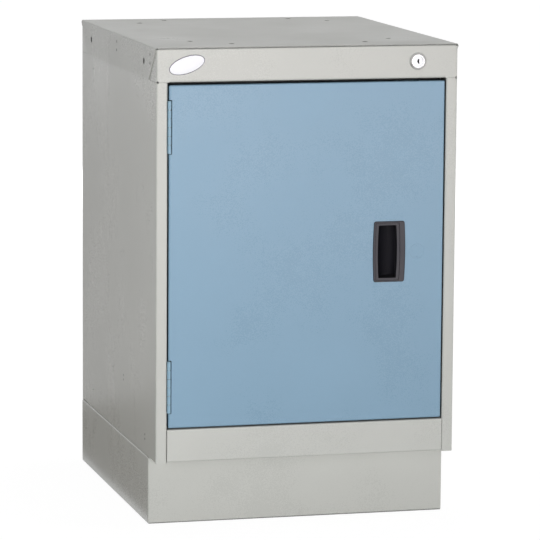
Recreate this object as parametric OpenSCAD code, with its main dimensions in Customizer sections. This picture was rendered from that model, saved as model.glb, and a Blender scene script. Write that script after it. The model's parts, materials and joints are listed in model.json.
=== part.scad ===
// Pedestal cabinet: folded sheet case, cap with a key lock, one inset hinged door and a plinth.
// Millimetres. +X is right, +Y is back, +Z is up. Heights are from the floor.
// Inside the modules y = 0 is the front face of the case; place() moves it into the part's frame.

/* [Cabinet] */
// Width across the side flanges of the cap
cabinet_w = 457; // [420:1:760]
// Depth from the front face to the back
cabinet_d = 533; // [525:1:760]
// Height from the floor to the top
cabinet_h = 711; // [640:1:1100]
// Thickness of the case's sheet
sheet = 1.2; // [1:0.1:1.5]
// Inside radius of a fold
bend_r = 1.4; // [1:0.1:1.8]
// Joint gap between folded pieces
joint_gap = 0.3; // [0.2:0.05:0.5]

/* [Cap] */
// Height of the cap
cap_h = 50; // [46:1:70]
// Length of the ears that wrap from the fascia to the sides
ear_len = 52; // [50:1:60]
// Where the slanting seam meets the lower edge of the cap
seam_foot = 46; // [30:1:47]
// Width of the folded edge behind the top of each fascia
fascia_flange = 18; // [14:1:20]
// Round holes in the sides of the cap, from either end
side_hole_inset = 78; // [70:1:110]
// Diameter of the mounting holes in the top and sides
mount_hole_d = 9; // [6:0.5:11]
// Sideways pitch of the inner top holes
inner_pitch_x = 203.2; // [150:0.1:230]
// Sideways pitch of the outer top holes
outer_pitch_x = 304.8; // [260:0.1:340]
// Inner top holes, from the front
top_hole_front = 57; // [40:0.5:80]
// Inner top holes, from the back
top_hole_back = 31.5; // [26:0.5:60]
// How far the outer top holes lie inside the inner ones, front and back
top_hole_step = 50.8; // [30:0.1:70]
// Width of the channel under the top
channel_w = 40; // [30:1:60]
// Height of the channel under the top
channel_h = 22; // [15:1:28]

/* [Case] */
// Width of the stiles beside the door
stile_w = 17; // [15:1:30]
// Height of the bottom rail
rail_h = 50; // [40:1:80]
// Width of the flanges along the bottom of the case
bottom_flange = 25; // [25:1:32]
// Width of the flanges at the back and the top of the sides
side_flange = 16; // [12:1:20]
// Drop of the floor's edges and of its back edge
floor_flange = 25; // [15:1:28]
// Height of the step at the back of the ledge, which the door closes on
stop_h = 16; // [15:1:18]
// Diameter of the small holes near the back of the sides
small_hole_d = 4; // [3:0.5:5]
// Height of the lower small hole above the case's bottom
small_hole_low = 29.5; // [24:0.5:40]
// Depth of the upper small hole below the cap
small_hole_drop = 20.5; // [12:0.5:40]

/* [Weld marks] */
// Diameter of the marks on the cap
cap_mark_d = 3.4; // [2:0.1:4]
// Height between the two marks of a pair on the cap
cap_mark_pitch = 12.5; // [10:0.5:16]
// First pair on the cap, from either end
cap_mark_inset = 37; // [30:1:42]
// Diameter of the marks on the case
case_mark_d = 2.4; // [1.5:0.1:3]
// Height between the two marks of a pair on the case
case_mark_pitch = 6.8; // [5:0.1:9]
// Depth of every mark
mark_depth = 0.4; // [0.2:0.05:0.5]

/* [Plinth] */
// Height of the plinth
plinth_h = 101; // [70:1:130]
// How far the plinth's front stands back
plinth_setback = 51; // [40:1:90]
// Thickness of the plinth's sheet
plinth_sheet = 1.5; // [1.2:0.1:2]
// Diameter of the holes for the plinth's bolts
plinth_hole_d = 9; // [8.5:0.1:9.5]
// Front bolts, behind the plinth's front
plinth_bolt_front = 40; // [30:1:80]
// Rear bolts, ahead of the back
plinth_bolt_rear = 60; // [40:1:90]

/* [Door] */
// Gap on either side of the door
door_side_gap = 2; // [1.8:0.1:3]
// Gap above the door
door_top_gap = 4; // [2:0.5:6]
// Gap below the door
door_bottom_gap = 2; // [1.5:0.5:4]
// Depth of the door
door_depth = 25; // [24:1:30]
// Width of the folded lips at the back of the door
door_lip = 14; // [12:1:18]
// Diameter of the knockout ring
knockout_d = 22; // [18:0.5:24]
// Centre of the knockout, from the door's free edge
knockout_inset = 40; // [30:1:42]
// Width of the ring's groove
knockout_groove = 0.8; // [0.5:0.1:1.2]
// Depth of the ring's groove
knockout_depth = 0.4; // [0.2:0.1:0.6]
// Width of the stiffener's face
stiffener_w = 50; // [30:1:80]
// Depth of the stiffener
stiffener_depth = 16; // [10:1:18]

/* [Hinges] */
// Length of a hinge
hinge_len = 76.2; // [60:0.1:110]
// Distance from a hinge to the end of the door
hinge_inset = 23; // [15:1:60]
// Knuckles on a hinge
knuckle_count = 6; // [4:2:8]
// Diameter of the knuckles
knuckle_d = 5; // [4.6:0.1:5.4]
// Diameter of the pins
pin_d = 2.5; // [2:0.1:2.8]
// Thickness of the leaves
leaf_t = 1; // [0.8:0.1:1]
// Reach of the leaves behind the front face
leaf_w = 21; // [16:1:22]
// How far the hinge axis stands in front of the front face
axis_out = 1.3; // [1:0.1:1.8]
// Gap between a hinge and the notch in the door's edge
notch_room = 1.4; // [0.5:0.1:2]
// Gap between two knuckles
knuckle_gap = 0.25; // [0.15:0.05:0.4]
// Running clearance round a pin
pin_clearance = 0.05; // [0.03:0.01:0.08]
// Diameter of the hinge rivets
rivet_d = 3.2; // [2.5:0.1:4]

/* [Pull] */
// Width of the pull at its ends
pull_end_w = 47; // [46:1:54]
// Extra width of the pull at its middle
pull_bulge = 2.5; // [1:0.5:4]
// Height of the pull
pull_h = 90.5; // [87:0.5:120]
// How far its rim stands in front of the door
pull_proud = 1.8; // [1:0.1:3]
// Width of the opening at its ends
pull_open_w = 26.5; // [24:0.5:29]
// Height of the opening
pull_open_h = 78; // [60:1:82]
// How far the opening lies off the pull's middle, towards the hinges
pull_shift = 2.8; // [0:0.1:3]
// Depth of the finger recess behind the door's face
pull_depth = 20; // [15:1:21]
// Wall of the recess
pull_wall = 1.8; // [1.2:0.1:2]
// Room for the fingertips behind the rim
pull_undercut = 4; // [2:0.5:4]
// Centre of the pull, from the door's free edge
pull_inset = 83.2; // [80:0.1:110]

/* [Lock] */
// Centre of the lock, from the cap's right side
lock_inset = 62.5; // [45:0.5:90]
// Diameter of the bevelled ring
bezel_d = 25.5; // [22:0.5:28]
// Diameter of the flat face inside the bevel
lock_face_d = 19.5; // [18:0.5:21.5]
// How far the lock stands in front of the fascia
bezel_out = 2.5; // [1.5:0.1:4]
// Diameter of the barrel
barrel_d = 18.8; // [17:0.2:20]
// Width across the barrel's flats
barrel_flats = 15.8; // [15:0.2:16.6]
// Length of the barrel behind the fascia's face
barrel_len = 17; // [14:0.5:17.5]
// Diameter of the plug
plug_d = 14; // [12:0.2:14.4]
// Reach of the cam from the lock's axis
cam_len = 38; // [36:0.5:40]
// Width of the cam
cam_w = 12; // [10:0.5:14]
// Thickness of the cam
cam_t = 2; // [1.5:0.1:2.5]
// Front to back width of the slots that the cam turns through
cam_slot_w = 15; // [6:0.5:17]

/* [Badge] */
// Length of the badge
badge_w = 55; // [40:1:60]
// Height of the badge
badge_h = 25; // [15:1:27]
// Thickness of the badge
badge_t = 1; // [0.6:0.1:1.5]
// Tilt of the badge
badge_tilt = 18; // [0:1:20]
// Centre of the badge, from the cap's left side
badge_inset = 46.5; // [40:0.5:70]

/* [Catch and bumpers] */
// Height of the catch
catch_h = 46; // [40:1:60]
// Width of the catch
catch_w = 13; // [11:0.5:13]
// Depth of the catch
catch_depth = 14.2; // [12:0.1:18]
// Thickness of the bumpers
bumper_t = 1.7; // [1.2:0.1:2.5]
// Diameter of the bumpers
bumper_d = 8; // [6:0.5:8]
// Clearance between the closed door and what it meets
close_gap = 0.3; // [0.2:0.05:0.5]

/* [Shelf] */
// Front uprights, centre from the front
upright_front = 72.5; // [68:0.5:110]
// Rear uprights, centre from the front
upright_rear = 448; // [400:1:470]
// Depth of the uprights' channel
upright_depth = 10; // [8:0.5:12]
// Width of the uprights' face
upright_w = 18; // [16:1:24]
// Slot pitch of the uprights
slot_pitch = 25.4; // [20:0.1:40]
// Slots below the one that holds the shelf
shelf_slot_count = 8; // [3:1:12]
// Height of the shelf's edges
shelf_edge = 20; // [15:1:30]
// Front edge of the shelf, from the front
shelf_front = 52; // [50:1:64]

/* [Hidden] */
$fn = 48;
case_w = cabinet_w - 2 * sheet;
half_w = case_w / 2;
cap_z = cabinet_h - cap_h;
top_z = cabinet_h - sheet;
case_z = plinth_h;
rail_top = case_z + rail_h;
open_x = half_w - stile_w;
outer_r = bend_r + sheet;
cap_mid_z = cap_z + cap_h / 2;
inner_pitch_y = cabinet_d - top_hole_front - top_hole_back;
outer_pitch_y = inner_pitch_y - 2 * top_hole_step;
pattern_y = top_hole_front + inner_pitch_y / 2;
fold_lap = 6;
relief_d = 2.6;
bend_steps = 4;
tiny = 1;

door_x = open_x - door_side_gap;
door_z0 = rail_top + door_bottom_gap;
door_z1 = cap_z - door_top_gap;
door_mid_z = (door_z0 + door_z1) / 2;
stop_y = door_depth + close_gap + bumper_t;
floor_z = rail_top + stop_h;
stop_drop = 14;
stop_side_gap = 2;

catch_x = door_x - door_lip / 2;
catch_back = door_depth + close_gap + catch_depth;
catch_plate = 1.5;
catch_leg = 12;
catch_reach = 22;
catch_margin = 5;
catch_cell_w = 9;
catch_cell_h = 28;
catch_floor = 3;
catch_pole_t = 1.5;
catch_pole_out = 1.2;
catch_screw_edge = 4.5;
catch_screw_z = catch_h / 2 - catch_screw_edge;
catch_screw_d = 3.4;
catch_play = 0.1;
stile_margin = 2;
stile_depth = catch_back + catch_plate + stile_margin;

back_y = cabinet_d - 2 * sheet;
rail_lap = 20;
rail_return = plinth_setback + rail_lap;
floor_x = half_w - sheet - joint_gap;
floor_setback = 2;
floor_front = stile_depth + floor_setback;

hinge_x = -open_x + knuckle_d / 2;
hinge_z = [door_z0 + hinge_inset, door_z1 - hinge_inset - hinge_len];
knuckle_pitch = hinge_len / knuckle_count;
knuckle_room = 0.4;
press_gap = 0.02;
rivet_edge = 8.4;
rivet_y = leaf_w - rivet_edge;
rivet_inset = 12;
rivet_head_d = 6;
rivet_head_t = 0.5;
rivet_tail_d = rivet_d * 1.5;
rivet_tail_t = rivet_d / 2;
rivet_play = 0.05;

pull_x = door_x - pull_inset;
pull_corner = 3;
pull_play = 0.4;
pull_cup_w = pull_open_w + pull_bulge + 2 * pull_wall + pull_undercut;
pull_cup_h = pull_open_h + 2 * pull_wall;
pull_groove = 1.2;
pull_groove_gap = 4;
pull_groove_depth = 0.6;

lock_x = cabinet_w / 2 - lock_inset;
lock_play = 0.05;
lock_hole_play = 0.2;
bezel_rim = 0.8;
plug_recess = 0.3;
cam_y = barrel_len + 0.8;
cam_hub_d = 16;
cam_play = 0.1;
cam_clear = 1.5;
tail_w = 7;
lock_nut_w = 24;
lock_nut_t = 4;
lock_screw_d = 4;
lock_screw_head_d = 9;
lock_screw_head_t = 2;
lock_screw_len = 8;
keyway_h = 9;
keyway_w = 2.4;
keyway_r = 7;
keyway_depth = 7;

badge_x = -cabinet_w / 2 + badge_inset;

upright_z0 = floor_z;
upright_head_gap = 12;
upright_z1 = cap_z - small_hole_drop - upright_head_gap;
upright_foot = 12;
slot_h = 10;
slot_w = 5;
slot_first = 20;
clip_t = 1.5;
clip_w = 14;
clip_rise = 10;
clip_drop = 12;
clip_ledge = 14;
clip_play = 0.3;
slot_z = upright_z0 + slot_first + shelf_slot_count * slot_pitch;
upright_x = half_w - sheet - upright_depth;
shelf_z = slot_z + clip_rise + shelf_edge;
shelf_play = 1;
shelf_x = upright_x - clip_t - shelf_play;
shelf_back_gap = 12;
shelf_lip = 12;

plinth_bolt_d = 8;
bolt_offset = 1.25;
plinth_bolt_x = half_w - bottom_flange / 2 - bolt_offset;
washer_t = 1.6;
washer_d = 17;
bolt_head_w = 13;
bolt_head_t = 5.3;
nut_t = 6.5;
bolt_tip = 3;
thread_gap = 0.05;

// The hinge knuckles reach furthest forward, so the part's box starts there
front_reach = axis_out + knuckle_d / 2;
front_y = -(cabinet_d - front_reach) / 2;

cabinet_grey = "#c9c8c4";
door_blue = "#8fb2cb";
zinc = "#b9bcc0";
chrome = "#dcdee0";
charcoal = "#3a393c";
rubber_black = "#222222";

// Folded sheet: points run along the middle of the sheet, and every fold is square
function unit(v) = v / norm(v);
function left_of(v) = [-v[1], v[0]];
function turn(p, i) = sign(cross(p[i] - p[i - 1], p[i + 1] - p[i]));
function fold_arc(p, i, t, r, side) =
    let (u = unit(p[i] - p[i - 1]), v = unit(p[i + 1] - p[i]), mid_r = r + t / 2)
    let (c = p[i] - mid_r * u + mid_r * v, k = mid_r - side * turn(p, i) * t / 2)
    [for (j = [0:bend_steps]) c + k * (sin(90 * j / bend_steps) * u - cos(90 * j / bend_steps) * v)];
function fold_line(p, t, r, side) =
    let (last = len(p) - 1)
    concat(
        [p[0] + side * t / 2 * left_of(unit(p[1] - p[0]))],
        [for (i = [1:1:last - 1]) each fold_arc(p, i, t, r, side)],
        [p[last] + side * t / 2 * left_of(unit(p[last] - p[last - 1]))]
    );
function reversed(p) = [for (i = [len(p) - 1:-1:0]) p[i]];
function arc(c, r, from, to) =
    [for (j = [0:bend_steps]) let (a = from + (to - from) * j / bend_steps) c + r * [cos(a), sin(a)]];

module folded(points, t = sheet, r = bend_r) {
    polygon(concat(fold_line(points, t, r, 1), reversed(fold_line(points, t, r, -1))));
}

// Profiles: along_x takes (y, z), along_y takes (x, z), along_z takes (x, y)
module along_x(x) {
    translate([x[0], 0, 0]) rotate([90, 0, 90]) linear_extrude(x[1] - x[0]) children();
}
module along_y(y) {
    translate([0, y[1], 0]) rotate([90, 0, 0]) linear_extrude(y[1] - y[0]) children();
}
module along_z(z) {
    translate([0, 0, z[0]]) linear_extrude(z[1] - z[0]) children();
}
module span(x, y, z) {
    translate([x[0], y[0], z[0]]) cube([x[1] - x[0], y[1] - y[0], z[1] - z[0]]);
}
module rod_y(x, z, y, d) {
    translate([x, y[1], z]) rotate([90, 0, 0]) cylinder(h = y[1] - y[0], d = d);
}
module rod_x(y, z, x, d) {
    translate([x[0], y, z]) rotate([0, 90, 0]) cylinder(h = x[1] - x[0], d = d);
}
module both_sides() {
    children();
    mirror([1, 0, 0]) children();
}
module place() {
    translate([0, front_y, 0]) children();
}

// A block whose edges round its front face are rounded, and its four corners along y at the front
module front_rounded(a, b, r) {
    polygon(concat(
        [[a[0], b[1]]],
        arc([a[0] + r, b[0] + r], r, 180, 270),
        arc([a[1] - r, b[0] + r], r, 270, 360),
        [[a[1], b[1]]]
    ));
}
module all_rounded(a, b, r) {
    polygon(concat(
        arc([a[0] + r, b[0] + r], r, 180, 270),
        arc([a[1] - r, b[0] + r], r, 270, 360),
        arc([a[1] - r, b[1] - r], r, 0, 90),
        arc([a[0] + r, b[1] - r], r, 90, 180)
    ));
}
module rounded_block(x, y, z, r) {
    intersection() {
        along_y(y) all_rounded(x, z, r);
        along_z(z) front_rounded(x, y, r);
        along_x(x) rotate(90) mirror([0, 1, 0]) front_rounded(z, y, r);
    }
}

// A mark left by a spot weld on the outside of a left-hand wall
module weld_mark(x, y, z, d) {
    translate([x - tiny, y, z]) rotate([0, 90, 0]) cylinder(h = tiny + mark_depth, d = d, $fn = 12);
}

// Side panel with its stile, as the left one; the right one is its mirror image
module side_panel(hinged) {
    web_x = -half_w + sheet / 2;
    difference() {
        union() {
            difference() {
                along_z([case_z, cap_z - joint_gap]) folded([
                    [-half_w + side_flange, cabinet_d - sheet / 2],
                    [web_x, cabinet_d - sheet / 2],
                    [web_x, sheet / 2],
                    [-open_x - sheet / 2, sheet / 2],
                    [-open_x - sheet / 2, stile_depth - sheet / 2],
                    [-half_w + sheet + tiny, stile_depth - sheet / 2]
                ]);
                span([-half_w - tiny, -half_w + outer_r],
                     [outer_r, cabinet_d - outer_r], [case_z - tiny, case_z + outer_r]);
            }
            along_y([outer_r, cabinet_d - outer_r]) folded([
                [web_x, case_z + outer_r + fold_lap],
                [web_x, case_z + sheet / 2],
                [-half_w + bottom_flange, case_z + sheet / 2]
            ]);
            along_y([ear_len + joint_gap, cabinet_d - ear_len - joint_gap]) folded([
                [web_x, cap_z - fold_lap],
                [web_x, top_z - sheet / 2],
                [-half_w + side_flange, top_z - sheet / 2]
            ]);
        }
        side_holes();
        relief_hole();
        for (z = [case_z + small_hole_low, cap_z - small_hole_drop])
            rod_x(upright_rear, z, [-half_w - tiny, -half_w + sheet + tiny], small_hole_d);
        for (y = [plinth_bolt_y(0), plinth_bolt_y(1)])
            translate([-plinth_bolt_x, y, case_z - tiny]) cylinder(h = sheet + 2 * tiny, d = plinth_hole_d);
        case_marks();
        if (hinged)
            rivet_holes([-open_x - sheet - tiny, -open_x + tiny]);
    }
}
module side_holes() {
    for (y = [side_hole_inset, cabinet_d - side_hole_inset])
        rod_x(y, cap_mid_z, [-half_w - sheet - tiny, -half_w + sheet + tiny], mount_hole_d);
}
// Pairs at the foot of the front upright and under the middle of the floor's edge
module case_marks() {
    low = 27;
    high = 90;
    middle_pitch = 76;
    middle = (upright_front + upright_rear) / 2;
    for (p = [[upright_front, low], [middle - middle_pitch / 2, high], [middle + middle_pitch / 2, high]])
        for (s = [-1, 1])
            weld_mark(-half_w, p[0], case_z + p[1] + s * case_mark_pitch / 2, case_mark_d);
}
function plinth_bolt_y(i) = i == 0 ? plinth_setback + plinth_bolt_front : cabinet_d - plinth_bolt_rear;

module side_panel_left() {
    color(cabinet_grey) place() side_panel(true);
}
module side_panel_right() {
    color(cabinet_grey) place() mirror([1, 0, 0]) side_panel(false);
}

// Plain back, between the rear flanges and the floor's back edge
module back_panel() {
    edge = half_w - outer_r - joint_gap;
    color(cabinet_grey) place()
        span([-edge, edge], [back_y, cabinet_d - sheet],
             [case_z + sheet + joint_gap, top_z - sheet - fold_lap]);
}

// One sheet: rail, ledge under the door, step and floor
module bottom_panel() {
    rail_x = open_x - joint_gap;
    floor_mid = floor_z - sheet / 2;
    edge_x = floor_x - sheet / 2;
    color(cabinet_grey) place() {
        along_x([-rail_x, rail_x]) folded([
            [rail_return, case_z + sheet * 1.5],
            [sheet / 2, case_z + sheet * 1.5],
            [sheet / 2, rail_top - sheet / 2],
            [stop_y + sheet / 2, rail_top - sheet / 2],
            [stop_y + sheet / 2, floor_mid],
            [floor_front + fold_lap, floor_mid]
        ]);
        along_y([floor_front, back_y - outer_r]) folded([
            [-edge_x, floor_z - floor_flange], [-edge_x, floor_mid],
            [edge_x, floor_mid], [edge_x, floor_z - floor_flange]
        ]);
        along_x([-floor_x + outer_r, floor_x - outer_r]) folded([
            [back_y - outer_r - fold_lap, floor_mid],
            [back_y - sheet / 2, floor_mid],
            [back_y - sheet / 2, floor_z - floor_flange]
        ]);
    }
}

// Top sheet with side flanges, whose ends are cut on a slant over the fascias' ears
module cap_top() {
    flange_x = half_w + sheet / 2;
    seam_head = 1.5;
    outside = [-half_w - sheet - tiny, -half_w];
    color(cabinet_grey) place() difference() {
        along_y([0, cabinet_d]) folded([
            [-flange_x, cap_z], [-flange_x, cabinet_h - sheet / 2],
            [flange_x, cabinet_h - sheet / 2], [flange_x, cap_z]
        ]);
        both_sides() {
            for (back = [0, 1])
                translate([0, back * cabinet_d, 0]) mirror([0, back, 0]) {
                    along_x(outside) polygon([
                        [-tiny, cap_z - tiny], [seam_foot, cap_z - tiny], [seam_foot, cap_z],
                        [seam_head, top_z - outer_r], [-tiny, top_z - outer_r]
                    ]);
                    span(outside, [-tiny, seam_head], [cap_z, cabinet_h + tiny]);
                }
            side_holes();
            for (y = [cap_mark_inset, cabinet_d / 2, cabinet_d - cap_mark_inset])
                for (z = [0, 1])
                    weld_mark(-half_w - sheet, y, cap_mid_z + z * cap_mark_pitch, cap_mark_d);
        }
        top_holes(inner_pitch_x, inner_pitch_y);
        top_holes(outer_pitch_x, outer_pitch_y);
    }
}
module top_holes(pitch_x, pitch_y) {
    for (sx = [-1, 1])
        for (sy = [-1, 1])
            translate([sx * pitch_x / 2, pattern_y + sy * pitch_y / 2, top_z - tiny])
                cylinder(h = sheet + 2 * tiny, d = mount_hole_d);
}

// Face with ears, before its own folds
module fascia_shell() {
    ear_x = half_w - sheet / 2;
    fold_x = half_w - outer_r;
    difference() {
        along_z([cap_z, top_z - bend_r - joint_gap]) folded([
            [-ear_x, ear_len], [-ear_x, sheet / 2], [ear_x, sheet / 2], [ear_x, ear_len]
        ]);
        span([-fold_x, fold_x], [-tiny, outer_r], [top_z - outer_r, cabinet_h]);
        both_sides() relief_hole();
    }
}
// Hole where the fascia's lower corner meets the stile
module relief_hole() {
    rod_y(-half_w + relief_d / 2, cap_z, [-tiny, sheet + tiny], relief_d);
}
// The lower fold, which the door closes under and on, spans the opening alone
module cap_front() {
    fold_x = half_w - outer_r;
    lip_x = open_x - stop_side_gap;
    color(cabinet_grey) place() difference() {
        union() {
            difference() {
                fascia_shell();
                span([-lip_x, lip_x], [-tiny, outer_r], [cap_z - tiny, cap_z + outer_r]);
            }
            along_x([-fold_x, fold_x]) folded([
                [fascia_flange, top_z - sheet / 2],
                [sheet / 2, top_z - sheet / 2],
                [sheet / 2, cap_mid_z]
            ]);
            along_x([-lip_x, lip_x]) folded([
                [sheet / 2, cap_mid_z],
                [sheet / 2, cap_z + sheet / 2],
                [stop_y + sheet / 2, cap_z + sheet / 2],
                [stop_y + sheet / 2, cap_z - stop_drop]
            ]);
        }
        lock_hole();
        cam_slot(cap_z - tiny, cap_z + sheet + tiny, cap_mid_z - cap_z - sheet);
    }
}
module lock_hole() {
    intersection() {
        rod_y(lock_x, cap_mid_z, [-tiny, sheet + tiny], barrel_d + 2 * lock_hole_play);
        span([lock_x - barrel_flats / 2 - lock_hole_play, lock_x + barrel_flats / 2 + lock_hole_play],
             [-2 * tiny, sheet + 2 * tiny],
             [cap_mid_z - barrel_d, cap_mid_z + barrel_d]);
    }
}
// Slot that the turning cam passes, in a wall that lies drop below the lock's axis; its rear edge is near
// the cam, which holds the door there
module cam_slot(z0, z1, drop) {
    reach = sqrt(pow(cam_len, 2) - pow(drop, 2));
    rear = cam_y + cam_t + cam_clear;
    span([lock_x - reach - cam_clear, lock_x + cam_w / 2 + cam_clear], [rear - cam_slot_w, rear], [z0, z1]);
}
module cap_rear() {
    fold_x = half_w - outer_r;
    color(cabinet_grey) place() translate([0, cabinet_d, 0]) mirror([0, 1, 0]) {
        fascia_shell();
        along_x([-fold_x, fold_x]) folded([
            [fascia_flange, top_z - sheet / 2],
            [sheet / 2, top_z - sheet / 2],
            [sheet / 2, cap_z]
        ]);
    }
}
// Channel under the top, between the side panels' flanges
module cap_channel() {
    top_mid = top_z - sheet * 1.5;
    y0 = cabinet_d / 2 - channel_w / 2;
    end_x = floor_x - bend_r;
    color(cabinet_grey) place() along_x([-end_x, end_x]) folded([
        [y0, top_mid - channel_h], [y0, top_mid],
        [y0 + channel_w, top_mid], [y0 + channel_w, top_mid - channel_h]
    ]);
}

// Slotted hat section on the inside of the left wall, its middle at y
module shelf_upright(y) {
    wall = -half_w + sheet * 1.5;
    face = -upright_x - sheet / 2;
    rise = upright_w / 2 - sheet / 2;
    slots = floor((upright_z1 - upright_z0 - 2 * slot_first) / slot_pitch);
    difference() {
        along_z([upright_z0, upright_z1]) folded([
            [wall, y - rise - upright_foot], [wall, y - rise], [face, y - rise],
            [face, y + rise], [wall, y + rise], [wall, y + rise + upright_foot]
        ]);
        for (i = [0:slots])
            span([-upright_x - sheet - tiny, -upright_x + tiny], [y - slot_w / 2, y + slot_w / 2],
                 [slot_centre(i) - slot_h / 2, slot_centre(i) + slot_h / 2]);
    }
}
function slot_centre(i) = upright_z0 + slot_first + i * slot_pitch;
module shelf_upright_front_left() {
    color(cabinet_grey) place() shelf_upright(upright_front);
}
module shelf_upright_rear_left() {
    color(cabinet_grey) place() shelf_upright(upright_rear);
}
module shelf_upright_front_right() {
    color(cabinet_grey) place() mirror([1, 0, 0]) shelf_upright(upright_front);
}
module shelf_upright_rear_right() {
    color(cabinet_grey) place() mirror([1, 0, 0]) shelf_upright(upright_rear);
}

module shelf() {
    y = [shelf_front, back_y - shelf_back_gap];
    mid = shelf_z - sheet / 2;
    foot = shelf_z - shelf_edge;
    color(cabinet_grey) place() {
        along_x([-shelf_x + outer_r, shelf_x - outer_r]) folded([
            [y[0] + shelf_lip, foot + sheet / 2], [y[0] + sheet / 2, foot + sheet / 2],
            [y[0] + sheet / 2, mid], [y[1] - sheet / 2, mid],
            [y[1] - sheet / 2, foot + sheet / 2], [y[1] - shelf_lip, foot + sheet / 2]
        ]);
        along_y([y[0] + outer_r, y[1] - outer_r]) folded([
            [-shelf_x + sheet / 2, foot], [-shelf_x + sheet / 2, mid],
            [shelf_x - sheet / 2, mid], [shelf_x - sheet / 2, foot]
        ]);
    }
}
// Bent clip: a ledge for the shelf and a hook through one slot
module shelf_clip(y) {
    x = -upright_x;
    ledge = slot_z + clip_rise;
    span([x, x + clip_t], [y - clip_w / 2, y + clip_w / 2], [slot_z - clip_drop, ledge]);
    span([x, x + clip_ledge], [y - clip_w / 2, y + clip_w / 2], [ledge - clip_t, ledge]);
    neck = slot_w / 2 - clip_play;
    span([x - sheet - 2 * clip_play - clip_t, x + tiny], [y - neck, y + neck],
         [slot_z - slot_h / 2, slot_z]);
    span([x - sheet - clip_play - clip_t, x - sheet - clip_play], [y - neck, y + neck],
         [slot_z - slot_h, slot_z]);
}
module shelf_clips() {
    color(zinc) place() both_sides() {
        shelf_clip(upright_front);
        shelf_clip(upright_rear);
    }
}

// Plinth: front and sides in one, with flanges all round its top and bottom
module plinth_wrap() {
    inner_x = half_w - plinth_sheet;
    outer = bend_r + plinth_sheet;
    hole_x = half_w - bottom_flange;
    color(cabinet_grey) place() difference() {
        rounded_block([-half_w, half_w], [plinth_setback, cabinet_d], [0, plinth_h], outer);
        rounded_block([-inner_x, inner_x], [plinth_setback + plinth_sheet, cabinet_d + tiny],
                      [plinth_sheet, plinth_h - plinth_sheet], bend_r);
        for (z = [-tiny, plinth_h - plinth_sheet - tiny])
            span([-hole_x, hole_x], [plinth_setback + bottom_flange, cabinet_d + tiny],
                 [z, z + plinth_sheet + 2 * tiny]);
        both_sides() for (i = [0, 1])
            translate([-plinth_bolt_x, plinth_bolt_y(i), plinth_h - plinth_sheet - tiny])
                cylinder(h = plinth_sheet + 2 * tiny, d = plinth_hole_d);
    }
}
module plinth_rear() {
    edge_x = half_w - plinth_sheet - bend_r - joint_gap;
    mid_y = cabinet_d - plinth_sheet / 2;
    z = [plinth_sheet * 1.5, plinth_h - plinth_sheet * 1.5];
    color(cabinet_grey) place() along_x([-edge_x, edge_x]) folded([
        [cabinet_d - bottom_flange, z[1]], [mid_y, z[1]], [mid_y, z[0]], [cabinet_d - bottom_flange, z[0]]
    ], plinth_sheet);
}
module at_plinth_bolts() {
    for (sx = [-1, 1])
        for (i = [0, 1])
            translate([sx * plinth_bolt_x, plinth_bolt_y(i), plinth_h - plinth_sheet]) children();
}
module hex(w, h) {
    cylinder(h = h, d = w / cos(30), $fn = 6);
}
module plinth_bolts() {
    color(zinc) place() at_plinth_bolts() {
        translate([0, 0, -washer_t - bolt_head_t]) hex(bolt_head_w, bolt_head_t);
        translate([0, 0, -washer_t])
            cylinder(h = washer_t + plinth_sheet + sheet + nut_t + bolt_tip, d = plinth_bolt_d);
    }
}
module plinth_washers() {
    color(zinc) place() at_plinth_bolts() translate([0, 0, -washer_t]) difference() {
        cylinder(h = washer_t, d = washer_d);
        translate([0, 0, -tiny]) cylinder(h = washer_t + 2 * tiny, d = plinth_bolt_d + 4 * thread_gap);
    }
}
module plinth_nuts() {
    color(zinc) place() at_plinth_bolts() translate([0, 0, plinth_sheet + sheet]) difference() {
        hex(bolt_head_w, nut_t);
        translate([0, 0, -tiny]) cylinder(h = nut_t + 2 * tiny, d = plinth_bolt_d + 2 * thread_gap);
    }
}

// Knuckles of one leaf; the frame's are counted from the top, and the door's fill in between
module knuckles(first, d) {
    for (i = [first:2:knuckle_count - 1])
        translate([hinge_x, -axis_out, hinge_len - (i + 1) * knuckle_pitch + knuckle_gap / 2])
            cylinder(h = knuckle_pitch - knuckle_gap, d = d);
}
// Leaf strip at x, whose edge steps back round the other leaf's knuckles
module leaf_strip(x, first) {
    span(x, [-axis_out + knuckle_d / 2 + knuckle_room, leaf_w], [0, hinge_len]);
    for (i = [first:2:knuckle_count - 1])
        span(x, [-axis_out, leaf_w], [
            hinge_len - (i + 1) * knuckle_pitch + knuckle_gap / 2,
            hinge_len - i * knuckle_pitch - knuckle_gap / 2
        ]);
}
module pin_hole(play) {
    translate([hinge_x, -axis_out, -tiny]) cylinder(h = hinge_len + 2 * tiny, d = pin_d + 2 * play);
}
module frame_leaf(z) {
    color(door_blue) place() translate([0, 0, z]) difference() {
        union() {
            knuckles(0, knuckle_d);
            leaf_strip([-open_x, -open_x + leaf_t], 0);
        }
        pin_hole(press_gap);
        for (h = rivet_heights())
            rod_x(rivet_y, h, [-open_x - tiny, -open_x + leaf_t + tiny], rivet_d + 2 * rivet_play);
    }
}
module door_leaf(z) {
    x = -door_x + sheet;
    color(door_blue) place() translate([0, 0, z]) difference() {
        union() {
            knuckles(1, knuckle_d);
            leaf_strip([x, x + leaf_t], 1);
        }
        pin_hole(pin_clearance);
    }
}
module hinge_pin(z) {
    color(zinc) place() translate([hinge_x, -axis_out, z]) cylinder(h = hinge_len, d = pin_d);
}
module upper_hinge_frame_leaf() {
    frame_leaf(hinge_z[1]);
}
module lower_hinge_frame_leaf() {
    frame_leaf(hinge_z[0]);
}
module upper_hinge_door_leaf() {
    door_leaf(hinge_z[1]);
}
module lower_hinge_door_leaf() {
    door_leaf(hinge_z[0]);
}
module upper_hinge_pin() {
    hinge_pin(hinge_z[1]);
}
module lower_hinge_pin() {
    hinge_pin(hinge_z[0]);
}
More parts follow.
